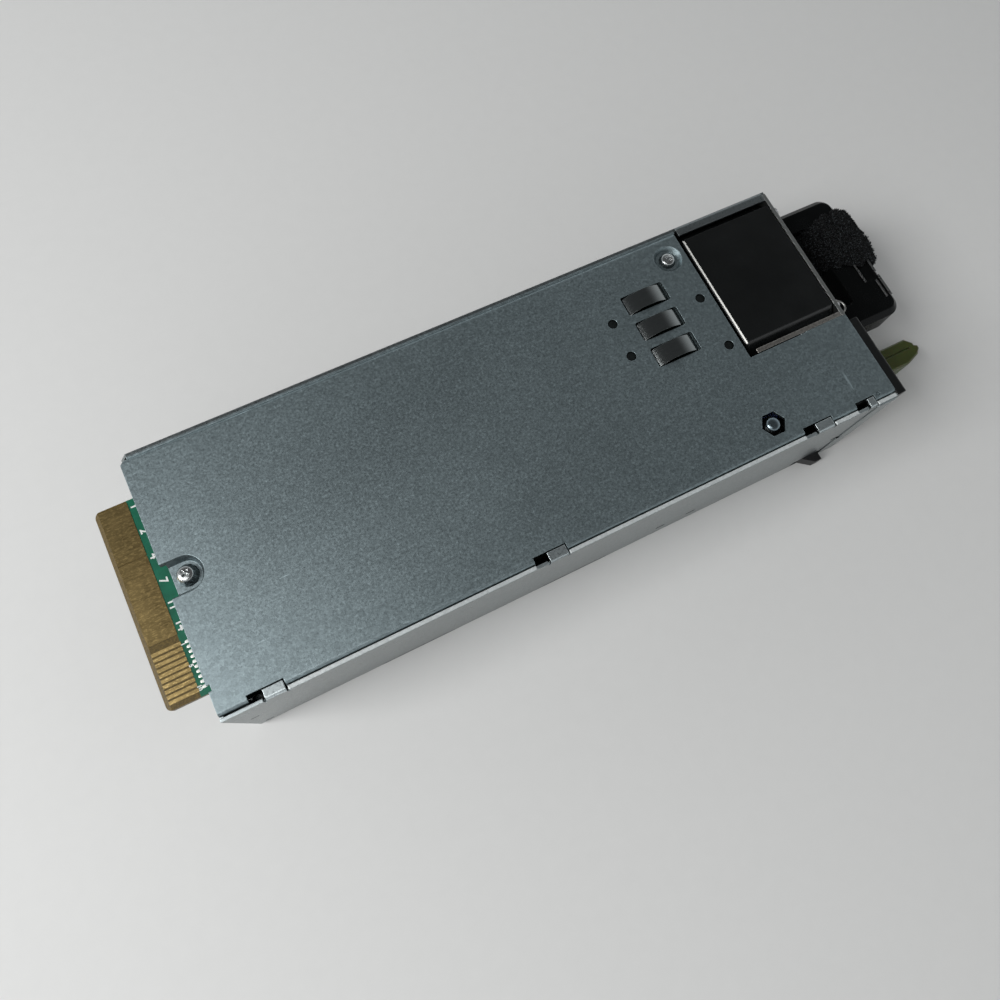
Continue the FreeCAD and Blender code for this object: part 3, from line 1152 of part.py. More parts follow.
def lamp_place():
    """Centre of the status lamp, in the corner below the inlet."""
    return BEZEL_INSET + LAMP_INSET, INLET_CENTRE_Z - INLET_HEIGHT / 2 - LAMP_DROP


def status_lamp():
    """Light guide of the status lamp, with a tapered end."""
    y, z = lamp_place()
    start = PANEL_START - LAMP_TAIL
    tip = BEZEL_FACE - LAMP_RADIUS / 2
    return fuse([small_rod(start, y, z, LAMP_RADIUS, tip - start, (1, 0, 0)),
                 small_cone(tip, y, z, LAMP_RADIUS, LAMP_RADIUS / 2, BEZEL_FACE - tip, (1, 0, 0))])


def inlet_housing():
    """Moulded socket for the mains plug."""
    body = inlet_outline(0, BEZEL_FACE - INLET_DEPTH, INLET_DEPTH)
    scale_y = (INLET_WIDTH - 2 * INLET_WALL) / 2
    scale_z = (INLET_HEIGHT - 2 * INLET_WALL) / 2
    y, z = INLET_CENTRE_Y, INLET_CENTRE_Z
    cut = INLET_CORNER - INLET_WALL * 0.6
    points = [(y - scale_y, z - scale_z), (y + scale_y - cut, z - scale_z), (y + scale_y, z - scale_z + cut),
              (y + scale_y, z + scale_z - cut), (y + scale_y - cut, z + scale_z), (y - scale_y, z + scale_z)]
    cavity = prism(points, BEZEL_FACE - INLET_CAVITY, INLET_CAVITY + 1, "YZ")
    pins = [blade.common(body) for blade in pin_blades()]
    return body.cut(cavity).cut(group(pins))


def pin_places():
    """Centres of the three blades across the inlet."""
    low = INLET_CENTRE_Y - PIN_EARTH_OFFSET / 2
    high = INLET_CENTRE_Y + PIN_EARTH_OFFSET / 2
    z = INLET_CENTRE_Z
    return [(low, z - PIN_LINE_PITCH / 2), (high, z), (low, z + PIN_LINE_PITCH / 2)]


def pin_blades():
    """The three contact blades of the inlet, along X."""
    x0 = BEZEL_FACE - INLET_DEPTH - PIN_TAIL
    x1 = BEZEL_FACE - PIN_RECESS
    return [block(x0, x1, y - PIN_WIDTH / 2, y + PIN_WIDTH / 2, z - PIN_THICKNESS / 2, z + PIN_THICKNESS / 2)
            for y, z in pin_places()]


def inlet_pins():
    """Line, neutral and earth blades of the inlet."""
    return group(pin_blades())


def inlet_divider():
    """Thin steel wall between the fan and the inlet, stepped up where it shows beside the cover."""
    near = CUTOUT_NEAR + SEAT_GAP
    far = near + DIVIDER_THICKNESS
    end = PANEL_START - SEAT_GAP
    low = block(FAN_START, end, near, far, SHEET, COVER_UNDERSIDE - DIVIDER_LOW_DROP)
    high = block(CASE_LENGTH - DIVIDER_STEP_SETBACK, end, near, far, SHEET, CASE_HEIGHT - DIVIDER_HIGH_DROP)
    foot = block(FAN_START, PANEL_START - DIVIDER_FOOT_SETBACK, near - DIVIDER_FOOT, far, SHEET,
                 SHEET + DIVIDER_THICKNESS)
    return fuse([low, high, foot])


def handle():
    """Loop handle: two arms and a rounded grip with shallow grooves above and below."""
    z0 = FAN_Z - HANDLE_THICKNESS / 2
    z1 = FAN_Z + HANDLE_THICKNESS / 2
    body = block(CASE_LENGTH, HANDLE_END, HANDLE_NEAR, HANDLE_FAR, z0, z1)
    body = round_edges(body, HANDLE_CORNER, lambda e: along(e, (0, 0, 1))
                       and e.CenterOfMass.x > HANDLE_END - 1)
    body = bevel_edges(body, HANDLE_EDGE, lambda e: abs(e.BoundBox.ZMax - e.BoundBox.ZMin) < 1e-6
                       and e.BoundBox.XMax > CASE_LENGTH + 1)
    hole = block(CASE_LENGTH - 1, GRIP_START, HANDLE_NEAR + HANDLE_ARM, HANDLE_FAR - HANDLE_ARM, z0 - 1,
                 z1 + 1)
    hole = round_edges(hole, HANDLE_INNER_CORNER, lambda e: along(e, (0, 0, 1))
                       and e.CenterOfMass.x > GRIP_START - 1)
    cuts = [hole] + [flat_screw(y, 0) for y in handle_screw_ys()]
    for setback, low, high in (MAIN_GROOVE, SIDE_GROOVE):
        x0 = HANDLE_END - setback
        x1 = HANDLE_END - GROOVE_INSET
        cuts.append(block(x0, x1, HANDLE_Y + low, HANDLE_Y + high, z1 - GROOVE_DEPTH, z1 + 1))
        cuts.append(block(x0, x1, HANDLE_Y + low, HANDLE_Y + high, z0 - 1, z0 + GROOVE_DEPTH))
    return body.cut(group(cuts))


def handle_screw_ys():
    """Places of the two handle screws along Y, in the middle of each arm."""
    return [HANDLE_NEAR + HANDLE_ARM / 2, HANDLE_FAR - HANDLE_ARM / 2]


def clear_of_handle_screws(y, z):
    """True where an air hole leaves enough steel round the handle screws."""
    keep = GRILLE_ACROSS_FLATS / 2 + GRILLE_KEEP
    return all(math.hypot(y - screw_y, z - FAN_Z) > keep for screw_y in handle_screw_ys())


def flat_screw(y, grow):
    """Countersunk screw through the end panel into a handle arm, grown by a clearance."""
    head = small_cone(PANEL_START, y, FAN_Z, HANDLE_SCREW_HEAD + grow, SCREW_RADIUS + grow, PANEL_THICKNESS,
                      (1, 0, 0))
    return fuse([head, small_rod(CASE_LENGTH, y, FAN_Z, SCREW_RADIUS + grow, HANDLE_SCREW_DEPTH, (1, 0, 0))])


def handle_screws():
    """The two countersunk screws that hold the handle."""
    return group([flat_screw(y, 0) for y in handle_screw_ys()])


def strap_loop(grow, width):
    """Block round the grip's section, grown by a distance and rounded along its corners."""
    half = HANDLE_THICKNESS / 2 + grow
    loop = block(GRIP_START - grow, HANDLE_END + grow, STRAP_NEAR, STRAP_NEAR + width, FAN_Z - half,
                 FAN_Z + half)
    return round_edges(loop, STRAP_CORNER + grow, lambda e: along(e, (0, 1, 0)))


def cable_strap():
    """Hook-and-loop strap wrapped round the grip, its free end lapped over the front."""
    wrap = strap_loop(STRAP_GAP + STRAP_THICKNESS, STRAP_WIDTH).cut(strap_loop(STRAP_GAP, STRAP_WIDTH))
    front = HANDLE_END + STRAP_GAP + STRAP_THICKNESS
    half = HANDLE_THICKNESS / 2
    far = STRAP_NEAR + STRAP_WIDTH + STRAP_LAP_OVERHANG
    lap = block(front - STRAP_LAP, front + STRAP_LAP, STRAP_NEAR, far, FAN_Z - half, FAN_Z + half)
    lap = bevel_edges(lap, STRAP_CORNER, lambda e: e.CenterOfMass.x > front)
    return fuse([wrap, lap])


# ---------------------------------------------------------------- latch
def latch_lever():
    """Lever with its pivot eye, its catch and the jogged arm that carries the release tab."""
    z0 = LEVER_FOOT
    near = LEVER_NEAR
    far = near + LEVER_WIDTH
    lag = LEVER_WIDTH * LEVER_JOG_LAG
    end = TAB_END - TAB_NOSE
    arm = [(PIVOT_X, near), (JOG_START, near), (JOG_START + JOG_LENGTH, near + JOG_SHIFT),
           (end, near + JOG_SHIFT), (end, far + JOG_SHIFT), (JOG_START + JOG_LENGTH - lag, far + JOG_SHIFT),
           (JOG_START - lag, far), (PIVOT_X, far)]
    eye = rod(PIVOT_X, PIVOT_Y, z0, LEVER_EYE, LEVER_THICKNESS)
    catch = prism([(CATCH_BACK - CATCH_LENGTH, SHEET / 2), (CATCH_BACK - CATCH_FLAT, -CATCH_REACH),
                   (CATCH_BACK, -CATCH_REACH), (CATCH_BACK, near + 1), (CATCH_BACK - CATCH_LENGTH, near + 1)],
                  z0, LEVER_THICKNESS)
    lug_end = PIVOT_X + SPRING_LEG - SPRING_WIRE
    lug = block(lug_end - SPRING_LUG, lug_end, near, PIVOT_Y - spring_radius() - SPRING_WIRE / 2, z0,
                z0 + LEVER_THICKNESS + 2 * SPRING_WIRE)
    body = fuse([prism(arm, z0, LEVER_THICKNESS), eye, catch, lug])
    return body.cut(rod(PIVOT_X, PIVOT_Y, z0 - 1, PIVOT_RADIUS + RUNNING_FIT, LEVER_THICKNESS + 2))


def release_tab():
    """Moulded tab pushed onto the lever's end, with a stepped and rounded thumb face."""
    near = LEVER_NEAR + JOG_SHIFT - (TAB_WIDTH - LEVER_WIDTH) / 2
    far = near + TAB_WIDTH
    top = TAB_FOOT + TAB_HEIGHT
    nose = TAB_END - TAB_NOSE
    step = near + TAB_TIP
    outline = [(TAB_START, near), (nose, near), (TAB_END - TAB_SHOULDER, near + TAB_SHOULDER),
               (TAB_END, step - 2 * TAB_EDGE), (TAB_END, step), (TAB_END - 2 * TAB_EDGE, step + TAB_EDGE),
               (TAB_END - 2 * TAB_EDGE, far - TAB_TIP / 2), (TAB_END - TAB_NOSE / 2, far), (TAB_START, far)]
    body = prism(outline, TAB_FOOT, TAB_HEIGHT)
    body = bevel_edges(body, TAB_EDGE, lambda e: e.CenterOfMass.z > top - 1e-6)
    groove = block(TAB_START + TAB_GROOVE_START, TAB_END - TAB_NOSE / 2, step, step + TAB_EDGE,
                   top - TAB_EDGE, top + 1)
    hollow = block(TAB_START - 1, nose, LEVER_NEAR + JOG_SHIFT, LEVER_NEAR + JOG_SHIFT + LEVER_WIDTH,
                   LEVER_FOOT - 1, LEVER_FOOT + LEVER_THICKNESS)
    return body.cut(group([groove, hollow]))


def latch_pin():
    """Headed pin riveted in the floor, on which the lever turns."""
    head_foot = LEVER_FOOT + LEVER_THICKNESS + PIVOT_HEAD_GAP
    pin = rod(PIVOT_X, PIVOT_Y, 0, PIVOT_RADIUS, head_foot)
    head = small_rod(PIVOT_X, PIVOT_Y, head_foot, PIVOT_HEAD_RADIUS, PIVOT_HEAD_HEIGHT)
    return fuse([pin, head, lever_seat()])


def lever_seat():
    """Shoulder of the latch pin that carries the lever just above the floor."""
    return small_rod(PIVOT_X, PIVOT_Y, SHEET, PIVOT_HEAD_RADIUS, LEVER_FOOT - SHEET - RUNNING_FIT)


def spring_radius():
    """Mean radius of the torsion spring's coil round the pin."""
    return PIVOT_RADIUS + SPRING_PIN_GAP + SPRING_WIRE / 2


def latch_spring():
    """Torsion spring on the pin: one leg bears on the lever's lug, the other rests by a tab of the floor."""
    radius = spring_radius()
    low = LEVER_FOOT + LEVER_THICKNESS + SPRING_WIRE / 2
    height = SPRING_TURNS * SPRING_WIRE
    coil = rod(PIVOT_X, PIVOT_Y, low, radius + SPRING_WIRE / 2, height)
    coil = coil.cut(rod(PIVOT_X, PIVOT_Y, low - 1, radius - SPRING_WIRE / 2, height + 2))
    first = PIVOT_Y - radius - SPRING_WIRE / 2
    last = PIVOT_Y + radius + SPRING_WIRE / 2
    leg = block(PIVOT_X, PIVOT_X + SPRING_LEG, first, first + SPRING_WIRE, low, low + SPRING_WIRE)
    other = block(PIVOT_X - SPRING_LEG, PIVOT_X, last - SPRING_WIRE, last, low + height - SPRING_WIRE,
                  low + height)
    return fuse([coil, leg, other])


def spring_stop():
    """Tab lanced up from the floor beside the spring's free leg."""
    swing = SPRING_LEG * math.tan(math.radians(LEVER_SWING))
    far = PIVOT_Y + spring_radius() - SPRING_WIRE / 2 - swing
    near_end = PIVOT_X - SPRING_LEG
    return block(near_end, near_end + STOP_WIDTH, far - SHEET, far, SHEET / 2,
                 LEVER_FOOT + LEVER_THICKNESS + PIVOT_HEAD_GAP)


# ---------------------------------------------------------------- export
def build():
    """Every piece of the power supply by its node name."""
    return {
        "bottom_tray": bottom_tray(),
        "top_cover": top_cover(),
        "cover_screws": cover_screws(),
        "board_standoffs": board_standoffs(),
        "hex_stud": hex_stud(),
        "ground_spring": ground_spring(),
        "spring_rivets": spring_rivets(),
        "main_board": main_board(),
        "power_contacts": power_contacts(),
        "signal_contacts": signal_contacts(),
        "bulk_capacitor": bulk_capacitor(),
        "main_transformer": main_transformer(),
        "transformer_winding": transformer_winding(),
        "pfc_choke": pfc_choke(),
        "mains_choke": mains_choke(),
        "output_choke": output_choke(),
        "primary_heatsink": primary_heatsink(),
        "output_heatsink": output_heatsink(),
        "mains_capacitor": mains_capacitor(),
        "output_capacitors": output_capacitors(),
        "insulating_sheet": insulating_sheet(),
        "board_posts": board_posts(),
        "inlet_leads": inlet_leads(),
        "fan_lead": fan_lead(),
        "fan_frame": fan_frame(),
        "fan_rotor": fan_rotor(),
        "fan_shaft": fan_shaft(),
        "fan_bearings": fan_bearings(),
        "fan_stator": fan_stator(),
        "fan_screws": fan_screws(),
        "end_panel": end_panel(),
        "inlet_divider": inlet_divider(),
        "bezel": bezel(),
        "status_lamp": status_lamp(),
        "inlet_housing": inlet_housing(),
        "inlet_pins": inlet_pins(),
        "handle": handle(),
        "handle_screws": handle_screws(),
        "cable_strap": cable_strap(),
        "latch_lever": latch_lever(),
        "release_tab": release_tab(),
        "latch_pin": latch_pin(),
        "latch_spring": latch_spring(),
    }


def main():
    """Write one STEP file for each piece."""
    os.makedirs("parts", exist_ok=True)
    for name, shape in build().items():
        placed = shape.translated(-ORIGIN)
        solids = len(placed.Solids)
        print(f"{name:22s} solids {solids:3d} volume {placed.Volume:10.1f} valid {placed.isValid()}")
        placed.exportStep(f"parts/{name}.step")


main()
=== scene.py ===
"""Dresses a hot-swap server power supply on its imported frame.

It finishes the plated steel case, the gold card edge, the black fan, the loop handle and the green
release tab, makes the strap and the fine trim, and sets them on a plain pale floor. Lengths are
metres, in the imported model's own frame."""
import math
import random
import bpy
from mathutils import Euler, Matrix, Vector, noise


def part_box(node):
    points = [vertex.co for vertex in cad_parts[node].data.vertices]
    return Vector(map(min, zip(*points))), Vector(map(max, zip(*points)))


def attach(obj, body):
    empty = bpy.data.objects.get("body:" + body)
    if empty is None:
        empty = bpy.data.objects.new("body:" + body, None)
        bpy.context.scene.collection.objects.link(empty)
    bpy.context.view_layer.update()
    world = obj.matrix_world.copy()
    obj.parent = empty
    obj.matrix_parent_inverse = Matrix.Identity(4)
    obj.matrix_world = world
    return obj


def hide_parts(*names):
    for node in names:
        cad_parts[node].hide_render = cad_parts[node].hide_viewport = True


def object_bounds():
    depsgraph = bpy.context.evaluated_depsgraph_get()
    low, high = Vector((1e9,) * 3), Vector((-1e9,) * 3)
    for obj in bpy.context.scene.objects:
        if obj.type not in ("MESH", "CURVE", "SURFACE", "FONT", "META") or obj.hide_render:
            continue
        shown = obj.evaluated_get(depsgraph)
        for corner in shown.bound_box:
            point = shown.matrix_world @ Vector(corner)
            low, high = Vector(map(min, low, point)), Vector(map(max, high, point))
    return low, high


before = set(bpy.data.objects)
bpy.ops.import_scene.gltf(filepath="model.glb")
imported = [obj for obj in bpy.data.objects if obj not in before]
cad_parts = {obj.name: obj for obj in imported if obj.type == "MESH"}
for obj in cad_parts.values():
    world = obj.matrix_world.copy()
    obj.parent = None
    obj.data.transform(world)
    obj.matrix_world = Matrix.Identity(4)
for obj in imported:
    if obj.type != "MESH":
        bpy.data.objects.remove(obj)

CAD_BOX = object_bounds()
MM = 0.001
HORIZON = (0.95, 0.98, 1.0)    # colour of the surround
HORIZON_LIGHT = 0.85           # its strength round the horizon
OVERHEAD_LIGHT = 0.11          # its strength overhead
# The tray's level faces below this height get painted shade.
CASE_INSIDE = 30 * MM          # below this height the tray's level faces lie inside the case

bl_info = {
    "name": "Server power supply",
    "version": (1, 0, 0),
    "blender": (4, 5, 0),
    "location": "3D View > Sidebar > Power supply",
    "description": "Builds the looks of a hot-swap server power supply on its fixed frame",
    "category": "Object",
}


# ------------------------------------------------------------------ sizes and colours
def size(name, description, default):
    """A length a user may change, in metres."""
    return bpy.props.FloatProperty(name=name, description=description, default=default, unit="LENGTH",
                                   precision=5)


def colour(name, description, default):
    """A colour a user may change."""
    return bpy.props.FloatVectorProperty(name=name, description=description, default=default, size=3,
                                         min=0, max=1, subtype="COLOR")


class PowerSupplySizes(bpy.types.PropertyGroup):
    """Lengths of the details that the fixed frame does not hold."""

    mask_edge: size("Mask edge", "Distance from the card's end to the green solder mask", 8.1 * MM)
    tongue: size("Tongue", "Length of the board that stands out of the case", 12.4 * MM)
    numeral: size("Numeral height", "Height of the printed numerals beside the contacts", 1.9 * MM)
    test_pad: size("Small pad", "Length of the small tinned pads behind the signal contacts", 1.2 * MM)
    print_thickness: size("Print thickness", "Thickness of printed and tinned marks on the board", 0.03 * MM)
    strap_swell: size("Strap swell", "How far the strap's layers bulge", 1.1 * MM)
    tuft_length: size("Pile length", "Length of the loops of the strap's pile", 0.6 * MM)
    tuft_width: size("Pile width", "Width of one loop of the strap's pile", 0.16 * MM)


class PowerSupplyColours(bpy.types.PropertyGroup):
    """Colours of the finishes."""

    cover: colour("Cover steel", "Plated steel of the cover", (0.288, 0.352, 0.370))
    wall: colour("Wall steel", "Plated steel of the tray", (0.245, 0.272, 0.277))
    spring: colour("Spring steel", "Polished spring strip", (0.20, 0.215, 0.215))
    panel: colour("Panel steel", "Steel of the end panel", (0.40, 0.41, 0.40))
    gold: colour("Contact gold", "Gold of the card's contacts", (0.225, 0.165, 0.07))
    mask: colour("Solder mask", "Green mask of the circuit board", (0.004, 0.105, 0.058))
    laminate: colour("Bare laminate", "Board laminate with no mask", (0.085, 0.056, 0.012))
    print_white: colour("Print", "Printed numerals", (0.80, 0.82, 0.80))
    fan: colour("Fan plastic", "Black of the fan's housing", (0.003, 0.0035, 0.0035))
    black: colour("Black plastic", "Black of the handle and the bezel", (0.0025, 0.003, 0.003))
    strap: colour("Strap pile", "Black of the hook-and-loop strap", (0.0026, 0.0030, 0.0032))
    tab: colour("Tab green", "Olive green of the release tab", (0.045, 0.058, 0.006))
    copper: colour("Copper", "Enamelled winding wire", (0.55, 0.22, 0.08))
    floor: colour("Floor", "Plain floor", (0.64, 0.64, 0.63))


# ------------------------------------------------------------------ shader helpers
class Finish:
    """Builds one procedural material on a Principled shader."""

    def __init__(self, name, metallic=0.0, roughness=0.5):
        self.material = bpy.data.materials.new(name)
        self.material.use_nodes = True
        self.tree = self.material.node_tree
        self.tree.nodes.clear()
        self.shader = self.node("ShaderNodeBsdfPrincipled")
        output = self.node("ShaderNodeOutputMaterial")
        self.link(self.shader.outputs["BSDF"], output.inputs["Surface"])
        self.coords = self.node("ShaderNodeTexCoord")
        self.set("Metallic", metallic)
        self.set("Roughness", roughness)

    def node(self, kind, **settings):
        """Adds a node and sets its plain properties."""
        made = self.tree.nodes.new(kind)
        for key, value in settings.items():
            setattr(made, key, value)
        return made

    def link(self, source, target):
        """Joins two sockets."""
        self.tree.links.new(source, target)

    def set(self, socket, value):
        """Sets a socket of the main shader."""
        self.shader.inputs[socket].default_value = value

    def place(self, scale=(1, 1, 1)):
        """Object position, stretched along each axis."""
        mapping = self.node("ShaderNodeMapping")
        self.link(self.coords.outputs["Object"], mapping.inputs["Vector"])
        mapping.inputs["Scale"].default_value = scale
        return mapping.outputs["Vector"]

    def noise(self, scale, detail=3.0, roughness=0.55, stretch=(1, 1, 1)):
        """Noise over the object, with a scale in cycles per metre."""
        made = self.node("ShaderNodeTexNoise")
        self.link(self.place(stretch), made.inputs["Vector"])
        made.inputs["Scale"].default_value = scale
        made.inputs["Detail"].default_value = detail
        made.inputs["Roughness"].default_value = roughness
        return made.outputs["Fac"]

    def cells(self, scale, stretch=(1, 1, 1)):
        """Random value for each cell of a Voronoi pattern."""
        made = self.node("ShaderNodeTexVoronoi")
        self.link(self.place(stretch), made.inputs["Vector"])
        made.inputs["Scale"].default_value = scale
        grey = self.node("ShaderNodeSeparateColor")
        self.link(made.outputs["Color"], grey.inputs["Color"])
        return grey.outputs["Red"]

    def range(self, value, low, high, out_low, out_high):
        """Maps a value from one range to another."""
        made = self.node("ShaderNodeMapRange")
        self.link(value, made.inputs["Value"])
        ends = {"From Min": low, "From Max": high, "To Min": out_low, "To Max": out_high}
        for key, number in ends.items():
            made.inputs[key].default_value = number
        return made.outputs["Result"]

    def math(self, operation, a, b):
        """Maths on two values, either of which may be a number."""
        made = self.node("ShaderNodeMath", operation=operation)
        for i, value in enumerate((a, b)):
            if isinstance(value, (int, float)):
                made.inputs[i].default_value = value
            else:
                self.link(value, made.inputs[i])
        return made.outputs[0]

    def mix(self, factor, a, b):
        """Mixes two colours, either of which may be a socket."""
        made = self.node("ShaderNodeMix", data_type="RGBA")
        if isinstance(factor, (int, float)):
            made.inputs[0].default_value = factor
        else:
            self.link(factor, made.inputs[0])
        for i, value in ((6, a), (7, b)):
            if isinstance(value, bpy.types.NodeSocket):
                self.link(value, made.inputs[i])
            else:
                made.inputs[i].default_value = (*value, 1.0)
        return made.outputs[2]

    def axis(self, name):
        """One coordinate of the object position."""
        made = self.node("ShaderNodeSeparateXYZ")
        self.link(self.coords.outputs["Object"], made.inputs["Vector"])
        return made.outputs[name]

    def colour(self, source):
        """Feeds the base colour."""
        self.link(source, self.shader.inputs["Base Color"])

    def roughness(self, source):
        """Feeds the roughness."""
        self.link(source, self.shader.inputs["Roughness"])

    def bump(self, height, strength, distance, edge=0.0):
        """Bumps the surface, with softly rounded edges where asked."""
        made = self.node("ShaderNodeBump")
        self.link(height, made.inputs["Height"])
        made.inputs["Strength"].default_value = strength
        made.inputs["Distance"].default_value = distance
        if edge:
            bevel = self.node("ShaderNodeBevel", samples=4)
            bevel.inputs["Radius"].default_value = edge
            self.link(bevel.outputs["Normal"], made.inputs["Normal"])
        self.link(made.outputs["Normal"], self.shader.inputs["Normal"])


def shade(value, factor):
    """A colour made lighter or darker."""
    return tuple(min(1.0, part * factor) for part in value[:3])


def plated_steel(name, base, roughness, metallic=1.0, grain=2600.0, edge=0.25 * MM, scratches=True,
                 mottle=1.0, upright_shade=1.0, level_highlight=1.0):
    """Zinc-plated sheet: granular crystals, fine grain, soft clouds and a few short pale scratches.

    mottle sets how strong the grain is. The factor for upright faces paints shade on them, and the factor
    for raised level faces on the near side paints a highlight on them, with painted shade that turns the
    level faces inside the case dark."""
    made = Finish(name, metallic, roughness)
    clouds = made.noise(14.0, 3.0)
    crystals = made.noise(1600.0, 3.0, 0.8)
    flakes = made.cells(1250.0)
    blotches = made.noise(330.0, 2.0, 0.6)
    fine = made.noise(grain, 2.0, 0.6)
    tone = made.mix(made.range(clouds, 0.35, 0.65, 0.0, 1.0), shade(base, 0.95), shade(base, 1.05))
    tone = made.mix(made.range(crystals, 0.56, 0.70, 0.0, 0.4 * mottle), tone, shade(base, 1.5))
    tone = made.mix(made.range(flakes, 0.0, 1.0, 0.0, 0.4 * mottle), tone, shade(base, 0.62))
    tone = made.mix(made.range(crystals, 0.47, 0.36, 0.0, 0.4 * mottle), tone, shade(base, 0.66))
    tone = made.mix(made.range(blotches, 0.4, 0.65, 0.0, 0.1 * mottle), tone, shade(base, 0.7))
    tone = made.mix(made.range(fine, 0.36, 0.64, 0.0, 0.3), tone, shade(base, 1.12))
    if upright_shade != 1.0 or level_highlight != 1.0:
        facing = made.node("ShaderNodeSeparateXYZ")
        made.link(made.node("ShaderNodeNewGeometry").outputs["Normal"], facing.inputs["Vector"])
        if upright_shade != 1.0:
            # Painted shade: upright faces, such as the cut edges of the cover's windows, are darkened.
            upright = made.range(facing.outputs["Z"], 0.2, 0.65, 1.0, 0.0)
            tone = made.mix(upright, tone, shade(base, upright_shade))
        if level_highlight != 1.0:
            # Painted highlight on the raised level faces on the near side, painted shade on the level faces
            # inside the case.
            inside = made.math("LESS_THAN", made.axis("Z"), CAD_BOX[0].z + CASE_INSIDE)
            near = made.math("LESS_THAN", made.axis("Y"), 0.0)
            level = made.range(facing.outputs["Z"], 0.3, 0.8, 0.0, 0.8)
            here = made.math("MULTIPLY", level, made.math("MAXIMUM", inside, near))
            tone = made.mix(here, tone, made.mix(inside, shade(base, level_highlight), shade(base, 0.1)))
    if scratches:
        for stretch, spread in (((0.05, 1.0, 1.0), 520.0), ((1.0, 0.07, 1.0), 430.0)):
            line = made.range(made.noise(spread, 2.0, 0.7, stretch), 0.715, 0.735, 0.0, 0.75)
            here = made.range(made.noise(26.0, 1.0), 0.56, 0.6, 0.0, 1.0)
            tone = made.mix(made.math("MULTIPLY", line, here), tone, shade(base, 1.8))
    made.colour(tone)
    rough = made.math("ADD", made.range(crystals, 0.35, 0.65, roughness - 0.07, roughness + 0.07),
                      made.range(clouds, 0.3, 0.7, -0.03, 0.03))
    made.roughness(rough)
    made.bump(crystals, 0.25 * mottle, 0.04 * MM, edge)
    return made.material


def polished_steel(name, base, roughness=0.07, edge=0.1 * MM):
    """Polished spring steel with hairlines along its length."""
    made = Finish(name, 1.0, roughness)
    hair = made.noise(5200.0, 2.0, 0.6, (0.04, 1.0, 1.0))
    made.colour(made.mix(made.range(hair, 0.3, 0.7, 0.0, 1.0), shade(base, 0.86), base))
    made.roughness(made.range(hair, 0.3, 0.7, roughness, roughness + 0.05))
    made.bump(hair, 0.05, 0.01 * MM, edge)
    return made.material


def moulded_plastic(name, base, roughness=0.42, texture=3200.0, depth=0.02 * MM, edge=0.3 * MM, strength=0.25,
                    shine=0.5):
    """Moulded plastic with a fine spark-eroded texture and slight handling marks."""
    made = Finish(name, 0.0, roughness)
    made.set("Specular IOR Level", shine)
    skin = made.noise(texture, 3.0, 0.6)
    marks = made.noise(90.0, 4.0, 0.65)
    made.colour(made.mix(made.range(marks, 0.35, 0.7, 0.0, 1.0), shade(base, 0.85), shade(base, 1.25)))
    made.roughness(made.math("ADD", made.range(skin, 0.3, 0.7, roughness - 0.05, roughness + 0.05),
                             made.range(marks, 0.3, 0.7, -0.05, 0.06)))
    made.bump(skin, strength, depth, edge)
    return made.material


def wound_copper(name, base):
    """Enamelled wire laid side by side round a core, darker in the grooves between turns as painted shade."""
    made = Finish(name, 0.85, 0.28)
    wave = made.node("ShaderNodeTexWave", wave_type="BANDS", bands_direction="DIAGONAL")
    made.link(made.place(), wave.inputs["Vector"])
    wave.inputs["Scale"].default_value = 260.0
    wave.inputs["Distortion"].default_value = 0.6
    # Painted shade: the colour follows the bump, darker in the grooves between turns.
    made.colour(made.mix(wave.outputs["Fac"], shade(base, 0.35), base))
    made.bump(wave.outputs["Fac"], 0.8, 0.3 * MM)
    return made.material


def dress(node, *materials):
    """Puts materials on a CAD node in place of its plain one."""
    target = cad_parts[node]
    target.data.materials.clear()
    for material in materials:
        target.data.materials.append(material)


def settings():
    """The scene's sizes and colours."""
    return bpy.context.scene.psu_sizes, bpy.context.scene.psu_colours


def add_mesh(name, vertices, faces, material, body="chassis", smooth=False):
    """Makes a piece from vertices and faces, in the model's frame, and lets it ride a body."""
    mesh = bpy.data.meshes.new(name)
    mesh.from_pydata(vertices, [], faces)
    mesh.materials.append(material)
    for polygon in mesh.polygons:
        polygon.use_smooth = smooth
    mesh.update()
    made = bpy.data.objects.new(name, mesh)
    bpy.context.scene.collection.objects.link(made)
    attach(made, body)
    return made


def thin_sheet(name, across, along, foot, thickness, material, slope=None):
    """Thin sheet with its upper edges chamfered, by a third of its thickness where nothing else is asked."""
    slope = slope or thickness / 3
    rings = ((0.0, foot), (0.0, foot + thickness - slope), (slope, foot + thickness))
    points = []
    for inset, z in rings:
        points += [(across[0] + inset, along[0] + inset, z), (across[1] - inset, along[0] + inset, z),
                   (across[1] - inset, along[1] - inset, z), (across[0] + inset, along[1] - inset, z)]
    faces = [(3, 2, 1, 0), (8, 9, 10, 11)]
    for level in (0, 4):
        for i in range(4):
            j = (i + 1) % 4
            faces.append((level + i, level + j, level + 4 + j, level + 4 + i))
    return add_mesh(name, points, faces, material)


